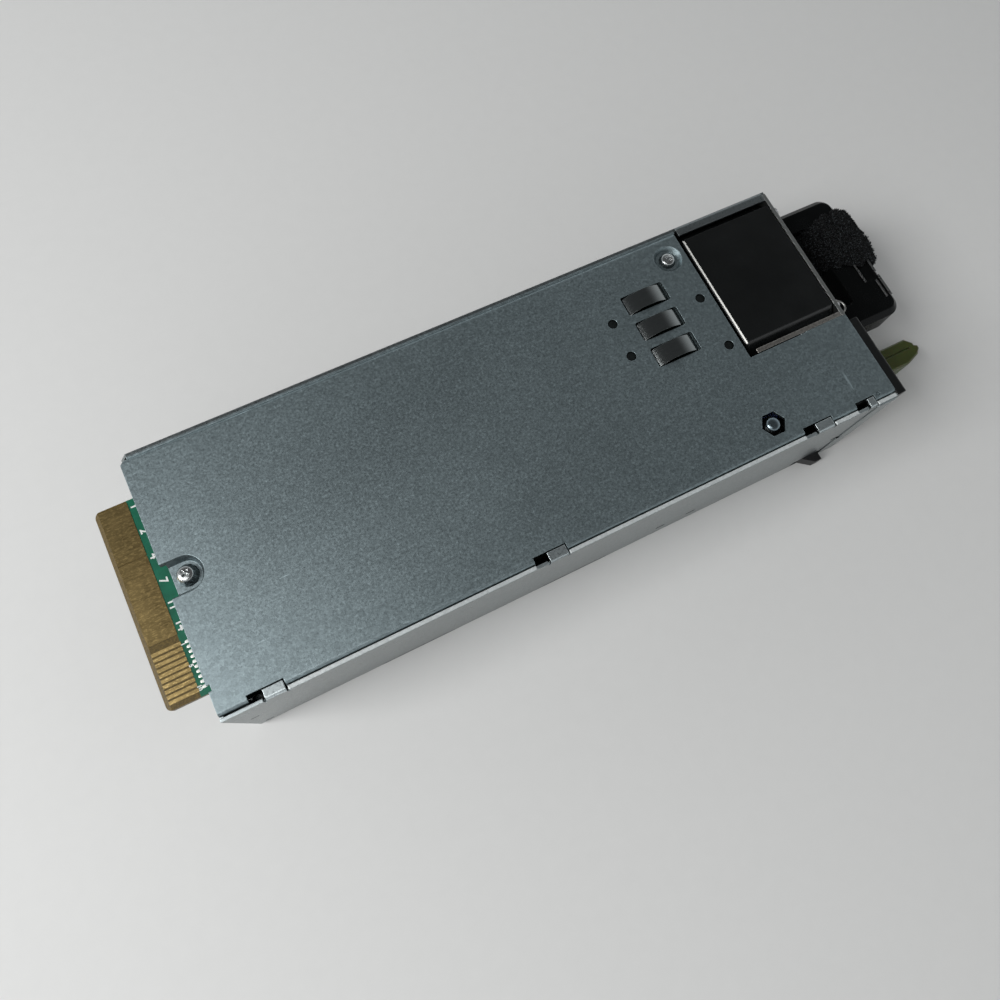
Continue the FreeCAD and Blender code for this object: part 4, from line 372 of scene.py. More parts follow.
# ------------------------------------------------------------------ operators
class PSU_OT_case(bpy.types.Operator):
    """Finish the steel tray, cover, divider and their fasteners"""

    bl_idname = "psu.case"
    bl_label = "Case"

    def execute(self, context):
        _, colours = settings()
        # Tray steel with a painted highlight on the near side's raised level faces and painted shade on the
        # level faces inside the case.
        wall = plated_steel("Tray steel", colours.wall, 0.34, mottle=0.6, level_highlight=2.5)
        dress("bottom_tray", wall)
        # Cover steel with painted shade on its upright faces, the cut edges of its windows.
        dress("top_cover", plated_steel("Cover steel", colours.cover, 0.46, mottle=1.9, upright_shade=0.3))
        dress("inlet_divider", wall)
        zinc = plated_steel("Zinc screw", shade(colours.wall, 0.8), 0.3, scratches=False)
        for node in ("cover_screws", "hex_stud", "board_posts", "board_standoffs"):
            dress(node, zinc)
        dress("ground_spring", polished_steel("Spring strip", colours.spring, 0.12))
        # Painted shade: the rivet heads are made nearly black to stand for the shade in the cover's holes.
        dress("spring_rivets", plated_steel("Rivet in painted shade", (0.03, 0.035, 0.035), 0.5, scratches=False))
        return {"FINISHED"}


class PSU_OT_card(bpy.types.Operator):
    """Finish the circuit board and the gold contacts of its card edge"""

    bl_idname = "psu.card"
    bl_label = "Card edge"

    def execute(self, context):
        sizes, colours = settings()
        dress("main_board", self.board(sizes, colours))
        gold = self.gold(colours)
        dress("power_contacts", gold)
        # The signal fingers get a lighter copy of the gold as a painted highlight.
        dress("signal_contacts", self.gold(colours, "Finger gold highlight", 1.7))
        return {"FINISHED"}

    def board(self, sizes, colours):
        """Green mask behind the contacts, bare laminate among them and on the edges; inside the case the mask
        is painted dark as shade.
        """
        made = Finish("Board", 0.0, 0.4)
        made.set("Specular IOR Level", 0.3)
        low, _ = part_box("main_board")
        weave = made.noise(2400.0, 2.0)
        behind = made.math("GREATER_THAN", made.axis("X"), low.x + sizes.mask_edge)
        normal = made.node("ShaderNodeSeparateXYZ")
        made.link(made.node("ShaderNodeNewGeometry").outputs["Normal"], normal.inputs["Vector"])
        flat = made.math("GREATER_THAN", made.math("ABSOLUTE", normal.outputs["Z"], 0.0), 0.9)
        masked = made.math("MULTIPLY", behind, flat)
        bare = made.mix(made.range(weave, 0.3, 0.7, 0.0, 1.0), shade(colours.laminate, 0.7),
                        shade(colours.laminate, 1.5))
        mask = made.mix(made.range(made.noise(300.0), 0.3, 0.7, 0.0, 1.0), shade(colours.mask, 0.8),
                        shade(colours.mask, 1.2))
        # Painted shade: past the tongue, inside the case, the mask is darkened to a few percent.
        inside = made.math("GREATER_THAN", made.axis("X"), low.x + sizes.tongue)
        mask = made.mix(inside, mask, shade(colours.mask, 0.06))
        made.colour(made.mix(masked, bare, mask))
        made.bump(weave, 0.2, 0.02 * MM)
        return made.material

    def gold(self, colours, name="Contact gold", highlight_gain=1.0):
        """Gold plate, worn dull along the way that a connector wipes it, with painted glints, and lightened as
        a whole as a painted highlight where asked.
        """
        made = Finish(name, 1.0, 0.36)
        # A factor above one lightens the plate as a painted highlight.
        plate = shade(colours.gold, highlight_gain)
        wipe = made.noise(2600.0, 3.0, 0.65, (0.05, 1.0, 1.0))
        patch = made.noise(240.0, 4.0, 0.6)
        painted_glints = made.noise(1900.0, 4.0, 0.7, (0.5, 1.0, 1.0))
        tone = made.mix(made.range(patch, 0.32, 0.68, 0.0, 1.0), shade(plate, 0.62), shade(plate, 1.05))
        # Painted highlight: light specks of glints painted into the gold.
        tone = made.mix(made.range(painted_glints, 0.5, 0.62, 0.0, 0.7), tone, shade(plate, 1.75))
        made.colour(made.mix(made.range(wipe, 0.46, 0.66, 0.0, 0.6), tone, shade(plate, 0.5)))
        made.roughness(made.range(wipe, 0.3, 0.7, 0.28, 0.46))
        made.bump(wipe, 0.15, 0.02 * MM)
        return made.material


class PSU_OT_board_print(bpy.types.Operator):
    """Add the plain numerals and the small tinned pads beside the contacts"""

    bl_idname = "psu.board_print"
    bl_label = "Board print"

    pads = 10                    # small tinned pads, one for each signal contact
    lift = 0.01 * MM             # gap under the print
    column = 1.5 * MM            # middle of the print, past the edge of the mask
    small_column = 1.1 * MM      # how far the small numerals stand before it
    from_far_edge = (("1", 1.6 * MM), ("2", 8.5 * MM), ("4", 15.4 * MM))
    from_near_edge = (("7", 13.5 * MM), ("11", 7.2 * MM), ("14", 1.8 * MM))
    beside_signals = (("1", 0.93), ("5", 0.5), ("10", 0.06))

    def execute(self, context):
        sizes, colours = settings()
        low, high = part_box("main_board")
        contact_low, contact_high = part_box("signal_contacts")
        power_low, power_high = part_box("power_contacts")
        ink = self.ink(colours)
        tin = plated_steel("Tinned pad", (0.80, 0.80, 0.76), 0.45, 0.2, scratches=False, mottle=0.3)
        top = high.z + self.lift
        column = low.x + sizes.mask_edge + self.column
        for text, distance in self.from_far_edge:
            self.numeral(text, column, power_high.y - distance, top, sizes, ink)
        for text, distance in self.from_near_edge:
            self.numeral(text, column, power_low.y + distance, top, sizes, ink)
        span = contact_high.y - contact_low.y
        for i in range(self.pads):
            y = contact_low.y + span * (i + 0.5) / self.pads
            self.pad(f"small_pad_{i + 1}", column + 0.1 * MM, y, top, sizes, tin)
        for text, share in self.beside_signals:
            y = contact_low.y + span * share
            self.numeral(text, column - self.small_column, y, top, sizes, ink, 0.5)
        return {"FINISHED"}

    def ink(self, colours):
        """Printed white ink, slightly uneven."""
        made = Finish("White print", 0.0, 0.6)
        body = made.noise(3000.0, 2.0)
        made.colour(made.mix(made.range(body, 0.3, 0.7, 0.0, 1.0), shade(colours.print_white, 0.8),
                             colours.print_white))
        made.bump(body, 0.1, 0.01 * MM)
        return made.material

    def numeral(self, text, x, y, z, sizes, ink, scale=1.0):
        """One printed number, read from the card's far end."""
        curve = bpy.data.curves.new("numeral", "FONT")
        curve.body = text
        curve.size = sizes.numeral * 1.45 * scale
        curve.align_x = "CENTER"
        curve.align_y = "CENTER"
        curve.extrude = sizes.print_thickness / 2
        curve.offset = sizes.numeral * 0.035
        drawn = bpy.data.objects.new("numeral", curve)
        mesh = bpy.data.meshes.new_from_object(drawn)
        mesh.transform(Euler((0, 0, -math.pi / 2)).to_matrix().to_4x4())
        points = [Vector((x, y, z)) + vertex.co for vertex in mesh.vertices]
        faces = [tuple(polygon.vertices) for polygon in mesh.polygons]
        bpy.data.objects.remove(drawn)
        add_mesh(f"numeral_{text}_{round((y + 1) * 1e5)}", points, faces, ink)

    def pad(self, name, x, y, z, sizes, tin):
        """One small rounded tinned pad with its solder crown."""
        half_x, half_y = sizes.test_pad / 2, sizes.test_pad * 0.31
        points, faces, rim = [], [], 20
        for ring_share, height in ((1.0, 0.0), (0.96, 0.6), (0.6, 1.3)):
            for i in range(rim):
                angle = 2 * math.pi * i / rim
                squared = 1.0 / max(abs(math.cos(angle)), abs(math.sin(angle))) ** 0.5
                points.append((x + half_x * ring_share * squared * math.cos(angle),
                               y + half_y * ring_share * squared * math.sin(angle),
                               z + height * sizes.print_thickness))
        for level in (0, 1):
            for i in range(rim):
                j = (i + 1) % rim
                faces.append((level * rim + i, level * rim + j, (level + 1) * rim + j, (level + 1) * rim + i))
        faces.append(tuple(range(2 * rim, 3 * rim)))
        add_mesh(name, points, faces, tin, smooth=True)


class PSU_OT_power_parts(bpy.types.Operator):
    """Finish the parts that hang from the circuit board"""

    bl_idname = "psu.power_parts"
    bl_label = "Power parts"

    def execute(self, context):
        _, colours = settings()
        alloy = plated_steel("Heatsink alloy", (0.70, 0.71, 0.72), 0.38, scratches=False)
        copper = wound_copper("Wound copper", colours.copper)
        dress("bulk_capacitor", moulded_plastic("Capacitor sleeve", (0.03, 0.035, 0.05), 0.25))
        dress("output_capacitors", plated_steel("Can alloy", (0.62, 0.63, 0.66), 0.3, scratches=False))
        dress("main_transformer",
              moulded_plastic("Ferrite", (0.045, 0.045, 0.047), 0.6, 1500.0, 0.06 * MM))
        dress("transformer_winding", moulded_plastic("Winding tape", (0.62, 0.46, 0.05), 0.3))
        for node in ("pfc_choke", "mains_choke", "output_choke"):
            dress(node, copper)
        for node in ("primary_heatsink", "output_heatsink"):
            dress(node, alloy)
        dress("mains_capacitor", moulded_plastic("Film capacitor", (0.60, 0.50, 0.10), 0.35))
        dress("insulating_sheet", moulded_plastic("Insulating sheet", (0.03, 0.03, 0.03), 0.3))
        dress("inlet_leads", moulded_plastic("Lead insulation", (0.04, 0.07, 0.20), 0.4))
        dress("fan_lead", moulded_plastic("Fan lead insulation", (0.02, 0.02, 0.02), 0.4))
        return {"FINISHED"}


class PSU_OT_fan(bpy.types.Operator):
    """Finish the fan, its screws and its bearings"""

    bl_idname = "psu.fan"
    bl_label = "Fan"

    def execute(self, context):
        _, colours = settings()
        dress("fan_frame",
              moulded_plastic("Fan housing", colours.fan, 0.22, 5200.0, 0.012 * MM, 0.35 * MM, 0.2))
        dress("fan_rotor", moulded_plastic("Fan rotor", shade(colours.fan, 1.4), 0.35))
        dress("fan_shaft", polished_steel("Shaft steel", (0.7, 0.7, 0.7)))
        dress("fan_bearings", polished_steel("Bearing steel", (0.6, 0.6, 0.6), 0.2))
        dress("fan_stator", wound_copper("Stator winding", colours.copper))
        dress("fan_screws", polished_steel("Screw plating", (0.34, 0.34, 0.35), 0.16))
        return {"FINISHED"}


class PSU_OT_end(bpy.types.Operator):
    """Finish the end panel, the bezel, the mains inlet and the status lamp"""

    bl_idname = "psu.end"
    bl_label = "End panel and inlet"

    def execute(self, context):
        _, colours = settings()
        dress("end_panel", polished_steel("Panel steel", colours.panel, 0.3))
        dress("bezel", moulded_plastic("Bezel plastic", colours.black, 0.4, shine=0.3))
        dress("inlet_housing", moulded_plastic("Inlet plastic", shade(colours.black, 1.3), 0.35))
        dress("inlet_pins", polished_steel("Nickel blade", (0.74, 0.72, 0.66), 0.16))
        dress("status_lamp", self.lamp())
        return {"FINISHED"}

    def lamp(self):
        """Milky light guide."""
        made = Finish("Lamp guide", 0.0, 0.2)
        made.set("Subsurface Weight", 0.6)
        made.set("Subsurface Scale", 1.0 * MM)
        cloud = made.noise(900.0)
        made.colour(made.mix(made.range(cloud, 0.3, 0.7, 0.0, 1.0), (0.72, 0.78, 0.72), (0.86, 0.90, 0.86)))
        made.bump(cloud, 0.05, 0.01 * MM)
        return made.material


class PSU_OT_trim(bpy.types.Operator):
    """Add the fan's film, the steel lip beside it, the cover's far hem and the drive faces of the screws"""

    bl_idname = "psu.trim"
    bl_label = "Trim and screw faces"

    # Sheared top edges of the near wall, between its hooks, measured from the cover's card end; they are
    # lighter than the wall as a painted highlight
    wall_edges = ((15.9 * MM, 78.4 * MM), (87.4 * MM, 155.9 * MM), (165.0 * MM, 172.2 * MM),
                  (178.4 * MM, 184.2 * MM))
    film_thickness = 0.14 * MM
    strip_thickness = 0.36 * MM
    strip_slope = 0.3 * MM
    lip_thickness = 0.16 * MM
    lip_foot_thickness = 0.2 * MM
    hem_thickness = 0.55 * MM
    edge_thickness = 0.3 * MM

    def execute(self, context):
        _, colours = settings()
        bright = polished_steel("Bright edge", (0.30, 0.30, 0.285), 0.34, 0.0)
        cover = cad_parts["top_cover"].data.materials[0]
        self.fan_trim(colours, bright)
        self.divider_trim(cover)
        self.seams(cover)
        fan_low, fan_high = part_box("fan_frame")
        corner = Vector((fan_high.x + 0.6 * MM, fan_low.y + 1.9 * MM, fan_high.z - 0.2 * MM))
        self.corner_bead(corner, bright)
        self.screw_faces()
        return {"FINISHED"}

    def fan_trim(self, colours, bright):
        """Glossy film on the fan's top and the bright strip along its edge to the card."""
        low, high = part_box("fan_frame")
        film = moulded_plastic("Fan film", colours.fan, 0.16, 5200.0, 0.01 * MM, 0.1 * MM, 0.1)
        thin_sheet("fan_film", (low.x + 0.5 * MM, high.x - 0.5 * MM),
                   (low.y + 3.4 * MM, high.y - 2.9 * MM), high.z, self.film_thickness, film)
        thin_sheet("fan_edge_strip", (low.x + 0.1 * MM, low.x + 0.8 * MM),
                   (low.y + 3.0 * MM, high.y - 2.9 * MM), high.z - 0.3 * MM, self.strip_thickness, bright,
                   self.strip_slope)

    def divider_trim(self, cover):
        """Steel lip of the divider, beside the fan, and its foot on the cover's side."""
        low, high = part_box("fan_frame")
        galvanised = plated_steel("Lip steel", (0.42, 0.40, 0.37), 0.32, scratches=False, mottle=0.5)
        thin_sheet("divider_lip", (low.x + 1.4 * MM, high.x), (low.y - 0.45 * MM, low.y + 0.75 * MM),
                   high.z - 0.1 * MM, self.lip_thickness, galvanised)
        thin_sheet("divider_lip_foot", (low.x + 16.6 * MM, high.x),
                   (low.y - 1.25 * MM, low.y - 0.4 * MM), high.z - 0.25 * MM, self.lip_foot_thickness, cover)

    def seams(self, cover):
        """Hem in the cover's far seam and the sheared edges of the near wall, lighter than the wall as a
        painted highlight.
        """
        low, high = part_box("top_cover")
        fan_low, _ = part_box("fan_frame")
        thin_sheet("cover_far_hem", (low.x + 1.8 * MM, fan_low.x - 0.6 * MM),
                   (high.y - 0.35 * MM, high.y + 0.42 * MM), high.z - 0.75 * MM, self.hem_thickness, cover)
        # Painted highlight: the wall's top edges get a light colour so they look lit from any side.
        edge = plated_steel("Wall edge highlight", (0.62, 0.66, 0.66), 0.4, 0.4, scratches=False)
        for i, (start, end) in enumerate(self.wall_edges):
            thin_sheet(f"wall_edge_{i + 1}", (low.x + start, low.x + end),
                       (low.y - 1.1 * MM, low.y - 0.12 * MM), high.z - 0.55 * MM, self.edge_thickness, edge)

    def corner_bead(self, centre, material):
        """Small rolled bead round the end panel's upper corner."""
        turns, sides, radius, wire = 28, 10, 1.9 * MM, 0.24 * MM
        points, faces = [], []
        for i in range(turns + 1):
            angle = math.radians(-100 + 200 * i / turns)
            for j in range(sides):
                around = 2 * math.pi * j / sides
                out = radius + wire * math.cos(around)
                points.append((centre.x + out * math.cos(angle), centre.y + out * math.sin(angle),
                               centre.z + wire * math.sin(around)))
        for i in range(turns):
            for j in range(sides):
                k = (j + 1) % sides
                faces.append((i * sides + j, (i + 1) * sides + j, (i + 1) * sides + k, i * sides + k))
        faces.append(tuple(range(sides - 1, -1, -1)))
        faces.append(tuple(turns * sides + j for j in range(sides)))
        return add_mesh("panel_corner_bead", points, faces, material, smooth=True)

    def screw_faces(self):
        """Domed faces on the two cover screws, with their cross recesses, and on the stud."""
        zinc = polished_steel("Screw zinc", (0.50, 0.52, 0.52), 0.2)
        heads, same = {}, 0.001 * MM
        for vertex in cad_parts["cover_screws"].data.vertices:
            front = vertex.co.x < 0
            if front not in heads or vertex.co.z > heads[front][0].z + same:
                heads[front] = [vertex.co]
            elif abs(vertex.co.z - heads[front][0].z) < same:
                heads[front].append(vertex.co)
        for front, rim in heads.items():
            centre = sum(rim, Vector()) / len(rim)
            reach = max((place - centre).length for place in rim)
            name = "screw_face_front" if front else "screw_face_rear"
            self.dome(name, centre, reach, 0.55 * MM, zinc, 0.52)
        low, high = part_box("hex_stud")
        centre = Vector(((low.x + high.x) / 2, (low.y + high.y) / 2, high.z))
        dark_zinc = plated_steel("Stud zinc", (0.20, 0.25, 0.275), 0.24, scratches=False, mottle=0.3)
        self.dome("stud_dome", centre, 1.9 * MM, 0.9 * MM, dark_zinc, 0.0)

    def dome(self, name, centre, reach, height, material, cross):
        """Low dome with a cross recess of a given share of its reach."""
        rings, sides = 26, 96
        points, faces = [centre + Vector((0, 0, self.crown(0, 0, reach, height, cross)))], []
        for i in range(1, rings + 1):
            for j in range(sides):
                angle = 2 * math.pi * j / sides
                x, y = (reach * i / rings * turn for turn in (math.cos(angle), math.sin(angle)))
                points.append(centre + Vector((x, y, self.crown(x, y, reach, height, cross))))
        for j in range(sides):
            k = (j + 1) % sides
            faces.append((0, 1 + j, 1 + k))
            for i in range(rings - 1):
                a, b = 1 + i * sides, 1 + (i + 1) * sides
                faces.append((a + j, b + j, b + k, a + k))
        return add_mesh(name, points, faces, material, smooth=True)

    def crown(self, x, y, reach, height, cross):
        """Height of the dome at one place, lowered inside the arms of the cross."""
        share = min(1.0, math.hypot(x, y) / reach)
        top = height * math.sqrt(max(0.0, 1.0 - share ** 2.4))
        if not cross:
            return top
        turned = (x * 0.8 + y * 0.6, y * 0.8 - x * 0.6)
        half_width, slope, bottom = 0.13 * reach, 0.06 * reach, 0.05 * MM
        arm = min(max(abs(turned[0]) - cross * reach, abs(turned[1]) - half_width),
                  max(abs(turned[1]) - cross * reach, abs(turned[0]) - half_width))
        depth = min(1.0, max(0.0, -arm / slope))
        return top + (bottom - top) * depth


class PSU_OT_handle(bpy.types.Operator):
    """Finish the loop handle"""

    bl_idname = "psu.handle"
    bl_label = "Handle"

    # Ribs on the grip: distance from its outer face, then where each starts and ends from its far side
    ribs = ((6.2 * MM, 21.7 * MM, 30.3 * MM), (1.5 * MM, 21.7 * MM, 28.4 * MM),
            (1.4 * MM, 29.6 * MM, 36.8 * MM), (2.9 * MM, 30.8 * MM, 36.8 * MM))
    rib_half_width = 0.3 * MM
    rib_height = 0.35 * MM

    def execute(self, context):
        _, colours = settings()
        dress("handle", moulded_plastic("Handle plastic", colours.black, 0.24, 2600.0, 0.03 * MM,
                                        0.35 * MM, 0.15, 0.09))
        dress("handle_screws", polished_steel("Handle screw", (0.10, 0.10, 0.10), 0.25))
        _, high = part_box("handle")
        # The ribs catch highlights by their shine, and their lighter copy of the handle's black adds a painted
        # highlight.
        plastic = moulded_plastic("Grip rib highlight plastic", shade(colours.black, 3.0), 0.3, shine=0.7)
        for i, (back, far, near) in enumerate(self.ribs):
            x = high.x - back
            thin_sheet(f"grip_rib_{i + 1}", (x - self.rib_half_width, x + self.rib_half_width),
                       (high.y - near, high.y - far), high.z - 0.02 * MM, self.rib_height, plastic)
        return {"FINISHED"}


class PSU_OT_strap(bpy.types.Operator):
    """Make the hook-and-loop strap round the grip, with its pile"""

    bl_idname = "psu.strap"
    bl_label = "Strap"

    def execute(self, context):
        sizes, colours = settings()
        low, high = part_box("cable_strap")
        cloth = self.pile(colours)
        wrap = self.wrap(low, high, sizes, cloth)
        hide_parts("cable_strap")
        self.tufts(wrap, sizes, cloth)
        return {"FINISHED"}

    def pile(self, colours):
        """Napped loop pile: nearly black, with a soft sheen, painted shade in its hollows and painted
        highlights on its curls.
        """
        made = Finish("Loop pile", 0.0, 0.95)
        fluff = made.noise(1500.0, 5.0, 0.7)
        curl_highlights = made.noise(2600.0, 2.0, 0.5)
        # Painted shade: the pile is darkened where its bump is low, in its hollows.
        dark = made.mix(made.range(fluff, 0.35, 0.7, 0.0, 1.0), shade(colours.strap, 0.15), colours.strap)
        # Painted highlight: light specks on the curls of the pile.
        made.colour(made.mix(made.range(curl_highlights, 0.55, 0.68, 0.0, 1.0), dark, shade(colours.strap, 20.0)))
        made.set("Sheen Weight", 0.04)
        made.set("Sheen Roughness", 0.6)
        made.set("Specular IOR Level", 0.03)
        made.bump(fluff, 0.9, 0.5 * MM)
        return made.material

    def section(self, low, high, share, inset):
        """Point on the rounded loop that the strap follows, and its outward direction."""
        half_x = (high.x - low.x) / 2 - inset
        half_z = (high.z - low.z) / 2 - inset
        angle = 2 * math.pi * share
        direction = Vector((math.cos(angle), 0, math.sin(angle)))
        power = 3.6
        reach = (abs(direction.x / half_x) ** power + abs(direction.z / half_z) ** power) ** (-1 / power)
        centre = Vector(((low.x + high.x) / 2, 0, (low.z + high.z) / 2))
        return centre + direction * reach, direction

    def wrap(self, low, high, sizes, cloth):
        """Soft layer of strap with clumped pile and ragged, slightly slanted edges."""
        around, across = 220, 56
        skin, lining = 0.9 * MM, 2.6 * MM    # how deep the outer and the inner face lie in the node's box
        points, faces = [], []
        for i in range(around):
            share = i / around
            place, direction = self.section(low, high, share, skin)
            inner = max(0.0, -direction.x)
            start = low.y + 3.6 * MM * inner
            end = high.y - 1.2 * MM - 1.8 * MM * inner
            ragged = noise.noise(place * 330.0 + Vector((0, 3.1, 0))) * 1.0 * MM
            for j in range(across + 1):
                side = j / across
                edge = math.sin(math.pi * side) ** 0.3
                y = start + (end - start) * side + ragged * (1.0 - edge) * 2.0
                spot = Vector((place.x, y, place.z))
                clump = 0.6 - noise.voronoi(spot * 900.0)[0][0]
                swell = noise.noise(spot * 210.0) * 0.9 + clump * 1.2 + noise.noise(spot * 1700.0) * 0.3
                lift = (edge - 1.0) * 2.0 * MM + (swell - 0.1) * sizes.strap_swell * edge
                points.append(place + direction * lift + Vector((0, y, 0)))
        rows = across + 1
        for i in range(around):
            share = i / around
            place, _ = self.section(low, high, share, lining)
            for j in range(rows):
                points.append(Vector((place.x, points[i * rows + j].y, place.z)))
        shell = around * rows
        for i in range(around):
            k = (i + 1) % around
            for j in range(across):
                a, b = i * rows + j, k * rows + j
                faces.append((a, a + 1, b + 1, b))
            for j in range(across):
                a, b = i * rows + j, k * rows + j
                faces.append((shell + a, shell + b, shell + b + 1, shell + a + 1))
            faces.append((i * rows, k * rows, shell + k * rows, shell + i * rows))
            faces.append((i * rows + across, shell + i * rows + across, shell + k * rows + across,
                          k * rows + across))
        return add_mesh("strap_wrap", points, faces, cloth, smooth=True)

    def tufts(self, wrap, sizes, cloth):
        """Short curled loops of pile that stand out of the strap."""
        rng = random.Random(7)
        mesh = wrap.data
        middle = sum((vertex.co for vertex in mesh.vertices), Vector()) / len(mesh.vertices)
        points, faces = [], []
        for polygon in mesh.polygons:
            reach = polygon.center - middle
            outward = polygon.normal.dot(Vector((reach.x, 0, reach.z))) > 0
            if outward and rng.random() < 0.6:
                normal = polygon.normal
                side = Vector((rng.uniform(-1, 1), rng.uniform(-1, 1), rng.uniform(-1, 1)))
                side = (side - normal * side.dot(normal)).normalized()
                root = polygon.center + side * rng.uniform(0, 0.4) * MM
                height = sizes.tuft_length * rng.uniform(0.3, 1.0)
                lean = normal.cross(side).normalized() * height * rng.uniform(-0.8, 0.8)
                width = side * sizes.tuft_width * rng.uniform(0.5, 1.0)
                start = len(points)
                for share in (0.0, 0.5, 1.0):
                    centre = root + normal * height * math.sin(share * 2.2) + lean * share * share
                    slim = width * (1.0 - 0.6 * share)
                    points.append(centre - slim)
                    points.append(centre + slim)
                faces.append((start, start + 1, start + 3, start + 2))
                faces.append((start + 2, start + 3, start + 5, start + 4))
        made = add_mesh("strap_pile", points, faces, cloth, smooth=True)


class PSU_OT_latch(bpy.types.Operator):
    """Finish the latch lever, its pin and spring, and the green release tab"""

    bl_idname = "psu.latch"
    bl_label = "Latch"

    def execute(self, context):
        _, colours = settings()
        dress("latch_lever", moulded_plastic("Lever coating", (0.006, 0.006, 0.0065), 0.38))
        dress("release_tab", self.tab(colours))
        zinc = plated_steel("Latch pin steel", (0.55, 0.55, 0.55), 0.3, scratches=False)
        dress("latch_pin", zinc)
        dress("latch_spring", polished_steel("Spring wire", (0.7, 0.7, 0.7)))
        return {"FINISHED"}

    def tab(self, colours):
        """Olive green plastic that lets a little light through."""
        made = Finish("Tab plastic", 0.0, 0.36)
        made.set("Subsurface Weight", 0.25)
        made.set("Subsurface Scale", 1.5 * MM)
        skin = made.noise(2600.0, 3.0)
        cloud = made.noise(160.0, 3.0)
        made.colour(made.mix(made.range(cloud, 0.3, 0.7, 0.0, 1.0), shade(colours.tab, 0.88),
                             shade(colours.tab, 1.12)))
        made.bump(skin, 0.2, 0.02 * MM, 0.35 * MM)
        return made.material


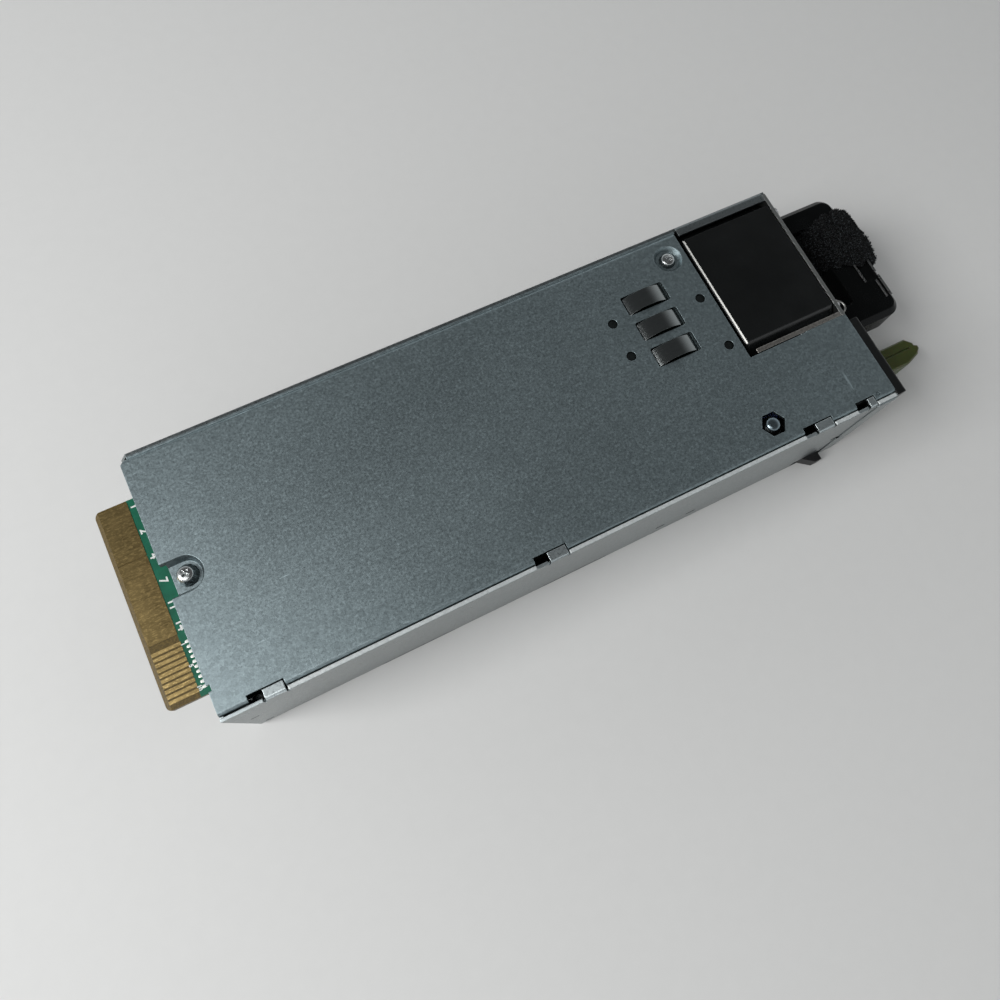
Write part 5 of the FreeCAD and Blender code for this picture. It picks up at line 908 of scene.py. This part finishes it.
class PSU_OT_stage(bpy.types.Operator):
    """Add the plain floor, the soft studio lights and the camera"""

    bl_idname = "psu.stage"
    bl_label = "Stage"

    # Name, place from the middle of the case, width and power of each softbox
    lamps = (("Key", (-0.71, 0.02, 0.62), 0.42, 6.7),
             ("Side", (-0.25, -0.75, 0.42), 0.7, 0.2),
             ("Top", (-0.42, -0.22, 0.85), 0.5, 1.7))
    camera_place = (-60.7 * MM, -56.1 * MM, 220.6 * MM)
    camera_turn = (16.276, -3.395, -26.414)      # degrees
    focal_length = 28.085                        # for a sensor 36 mm wide
    floor_reach = 3.0
    pale_from, pale_to = 0.45, 1.3               # distance over which the floor turns pale

    def execute(self, context):
        _, colours = settings()
        low, high = CAD_BOX
        self.floor(colours, low.z - 0.3 * MM)
        self.world()
        centre = (low + high) / 2
        for name, offset, width, power in self.lamps:
            self.lamp(name, centre + Vector(offset), centre, width, power)
        self.camera(context)
        context.scene.view_settings.view_transform = "Standard"
        return {"FINISHED"}

    def floor(self, colours, height):
        """Large plain floor just under the case."""
        reach = self.floor_reach
        mesh = bpy.data.meshes.new("floor")
        corners = ((-reach, -reach, height), (reach, -reach, height), (reach, reach, height),
                   (-reach, reach, height))
        mesh.from_pydata(corners, [], [(0, 1, 2, 3)])
        made = Finish("Floor", 0.0, 0.7)
        grain = made.noise(220.0, 3.0)
        made.colour(made.mix(made.range(grain, 0.3, 0.7, 0.0, 1.0), shade(colours.floor, 0.985), colours.floor))
        made.bump(grain, 0.1, 0.2 * MM)
        self.pale_distance(made)
        mesh.materials.append(made.material)
        floor = bpy.data.objects.new("floor", mesh)
        bpy.context.scene.collection.objects.link(floor)

    def pale_distance(self, made):
        """Lets the far floor run into the pale surround, with no light of its own on the object."""
        reach = made.node("ShaderNodeVectorMath", operation="LENGTH")
        made.link(made.coords.outputs["Object"], reach.inputs[0])
        far = made.range(reach.outputs["Value"], self.pale_from, self.pale_to, 0.0, 1.0)
        seen = made.math("MULTIPLY", far, made.node("ShaderNodeLightPath").outputs["Is Camera Ray"])
        glow = made.node("ShaderNodeEmission")
        glow.inputs["Color"].default_value = (*shade(HORIZON, HORIZON_LIGHT), 1.0)
        blend = made.node("ShaderNodeMixShader")
        made.link(seen, blend.inputs["Fac"])
        made.link(made.shader.outputs["BSDF"], blend.inputs[1])
        made.link(glow.outputs["Emission"], blend.inputs[2])
        output = next(node for node in made.tree.nodes if node.type == "OUTPUT_MATERIAL")
        made.link(blend.outputs["Shader"], output.inputs["Surface"])

    def world(self):
        """Soft surround: pale round the horizon, dimmer overhead."""
        world = bpy.data.worlds.new("Studio")
        bpy.context.scene.world = world
        world.use_nodes = True
        tree = world.node_tree
        tree.nodes.clear()
        output = tree.nodes.new("ShaderNodeOutputWorld")
        surround = tree.nodes.new("ShaderNodeBackground")
        coords = tree.nodes.new("ShaderNodeTexCoord")
        split = tree.nodes.new("ShaderNodeSeparateXYZ")
        tree.links.new(coords.outputs["Generated"], split.inputs["Vector"])
        fade = tree.nodes.new("ShaderNodeMapRange")
        fade.interpolation_type = "SMOOTHSTEP"
        tree.links.new(split.outputs["Z"], fade.inputs["Value"])
        ends = {"From Min": 0.15, "From Max": 0.8, "To Min": HORIZON_LIGHT, "To Max": OVERHEAD_LIGHT}
        for key, number in ends.items():
            fade.inputs[key].default_value = number
        surround.inputs["Color"].default_value = (*HORIZON, 1.0)
        tree.links.new(fade.outputs["Result"], surround.inputs["Strength"])
        tree.links.new(surround.outputs[0], output.inputs["Surface"])

    def lamp(self, name, place, target, width, power):
        """One square softbox aimed at the object."""
        data = bpy.data.lights.new(name, "AREA")
        data.shape = "SQUARE"
        data.size = width
        data.energy = power
        made = bpy.data.objects.new(name, data)
        made.location = place
        made.rotation_euler = (target - place).to_track_quat("-Z", "Y").to_euler()
        bpy.context.scene.collection.objects.link(made)

    def camera(self, context):
        """Camera above the near side, looking down along the case."""
        data = bpy.data.cameras.new("Camera")
        data.sensor_width = 36.0
        data.lens = self.focal_length
        data.clip_start = 0.01
        made = bpy.data.objects.new("Camera", data)
        made.location = self.camera_place
        made.rotation_euler = Euler([math.radians(turn) for turn in self.camera_turn])
        context.scene.collection.objects.link(made)
        context.scene.camera = made


OPERATORS = (PSU_OT_case, PSU_OT_card, PSU_OT_board_print, PSU_OT_power_parts, PSU_OT_fan, PSU_OT_end,
             PSU_OT_trim, PSU_OT_handle, PSU_OT_strap, PSU_OT_latch, PSU_OT_stage)


class PSU_PT_panel(bpy.types.Panel):
    """Sidebar panel with the sizes, the colours and the steps"""

    bl_label = "Power supply"
    bl_idname = "PSU_PT_panel"
    bl_space_type = "VIEW_3D"
    bl_region_type = "UI"
    bl_category = "Power supply"

    def draw(self, context):
        for group in settings():
            box = self.layout.box()
            for name in group.bl_rna.properties.keys():
                if name not in ("rna_type", "name"):
                    box.prop(group, name)
        for operator in OPERATORS:
            self.layout.operator(operator.bl_idname)


CLASSES = (PowerSupplySizes, PowerSupplyColours, *OPERATORS, PSU_PT_panel)


def register():
    """Registers the classes and the scene's settings."""
    for made in CLASSES:
        bpy.utils.register_class(made)
    bpy.types.Scene.psu_sizes = bpy.props.PointerProperty(type=PowerSupplySizes)
    bpy.types.Scene.psu_colours = bpy.props.PointerProperty(type=PowerSupplyColours)


def unregister():
    """Removes the settings and the classes."""
    del bpy.types.Scene.psu_colours
    del bpy.types.Scene.psu_sizes
    for made in reversed(CLASSES):
        bpy.utils.unregister_class(made)


def main():
    """Runs every step in order."""
    register()
    for operator in OPERATORS:
        group, name = operator.bl_idname.split(".")
        getattr(getattr(bpy.ops, group), name)()


if __name__ == "__main__":
    main()
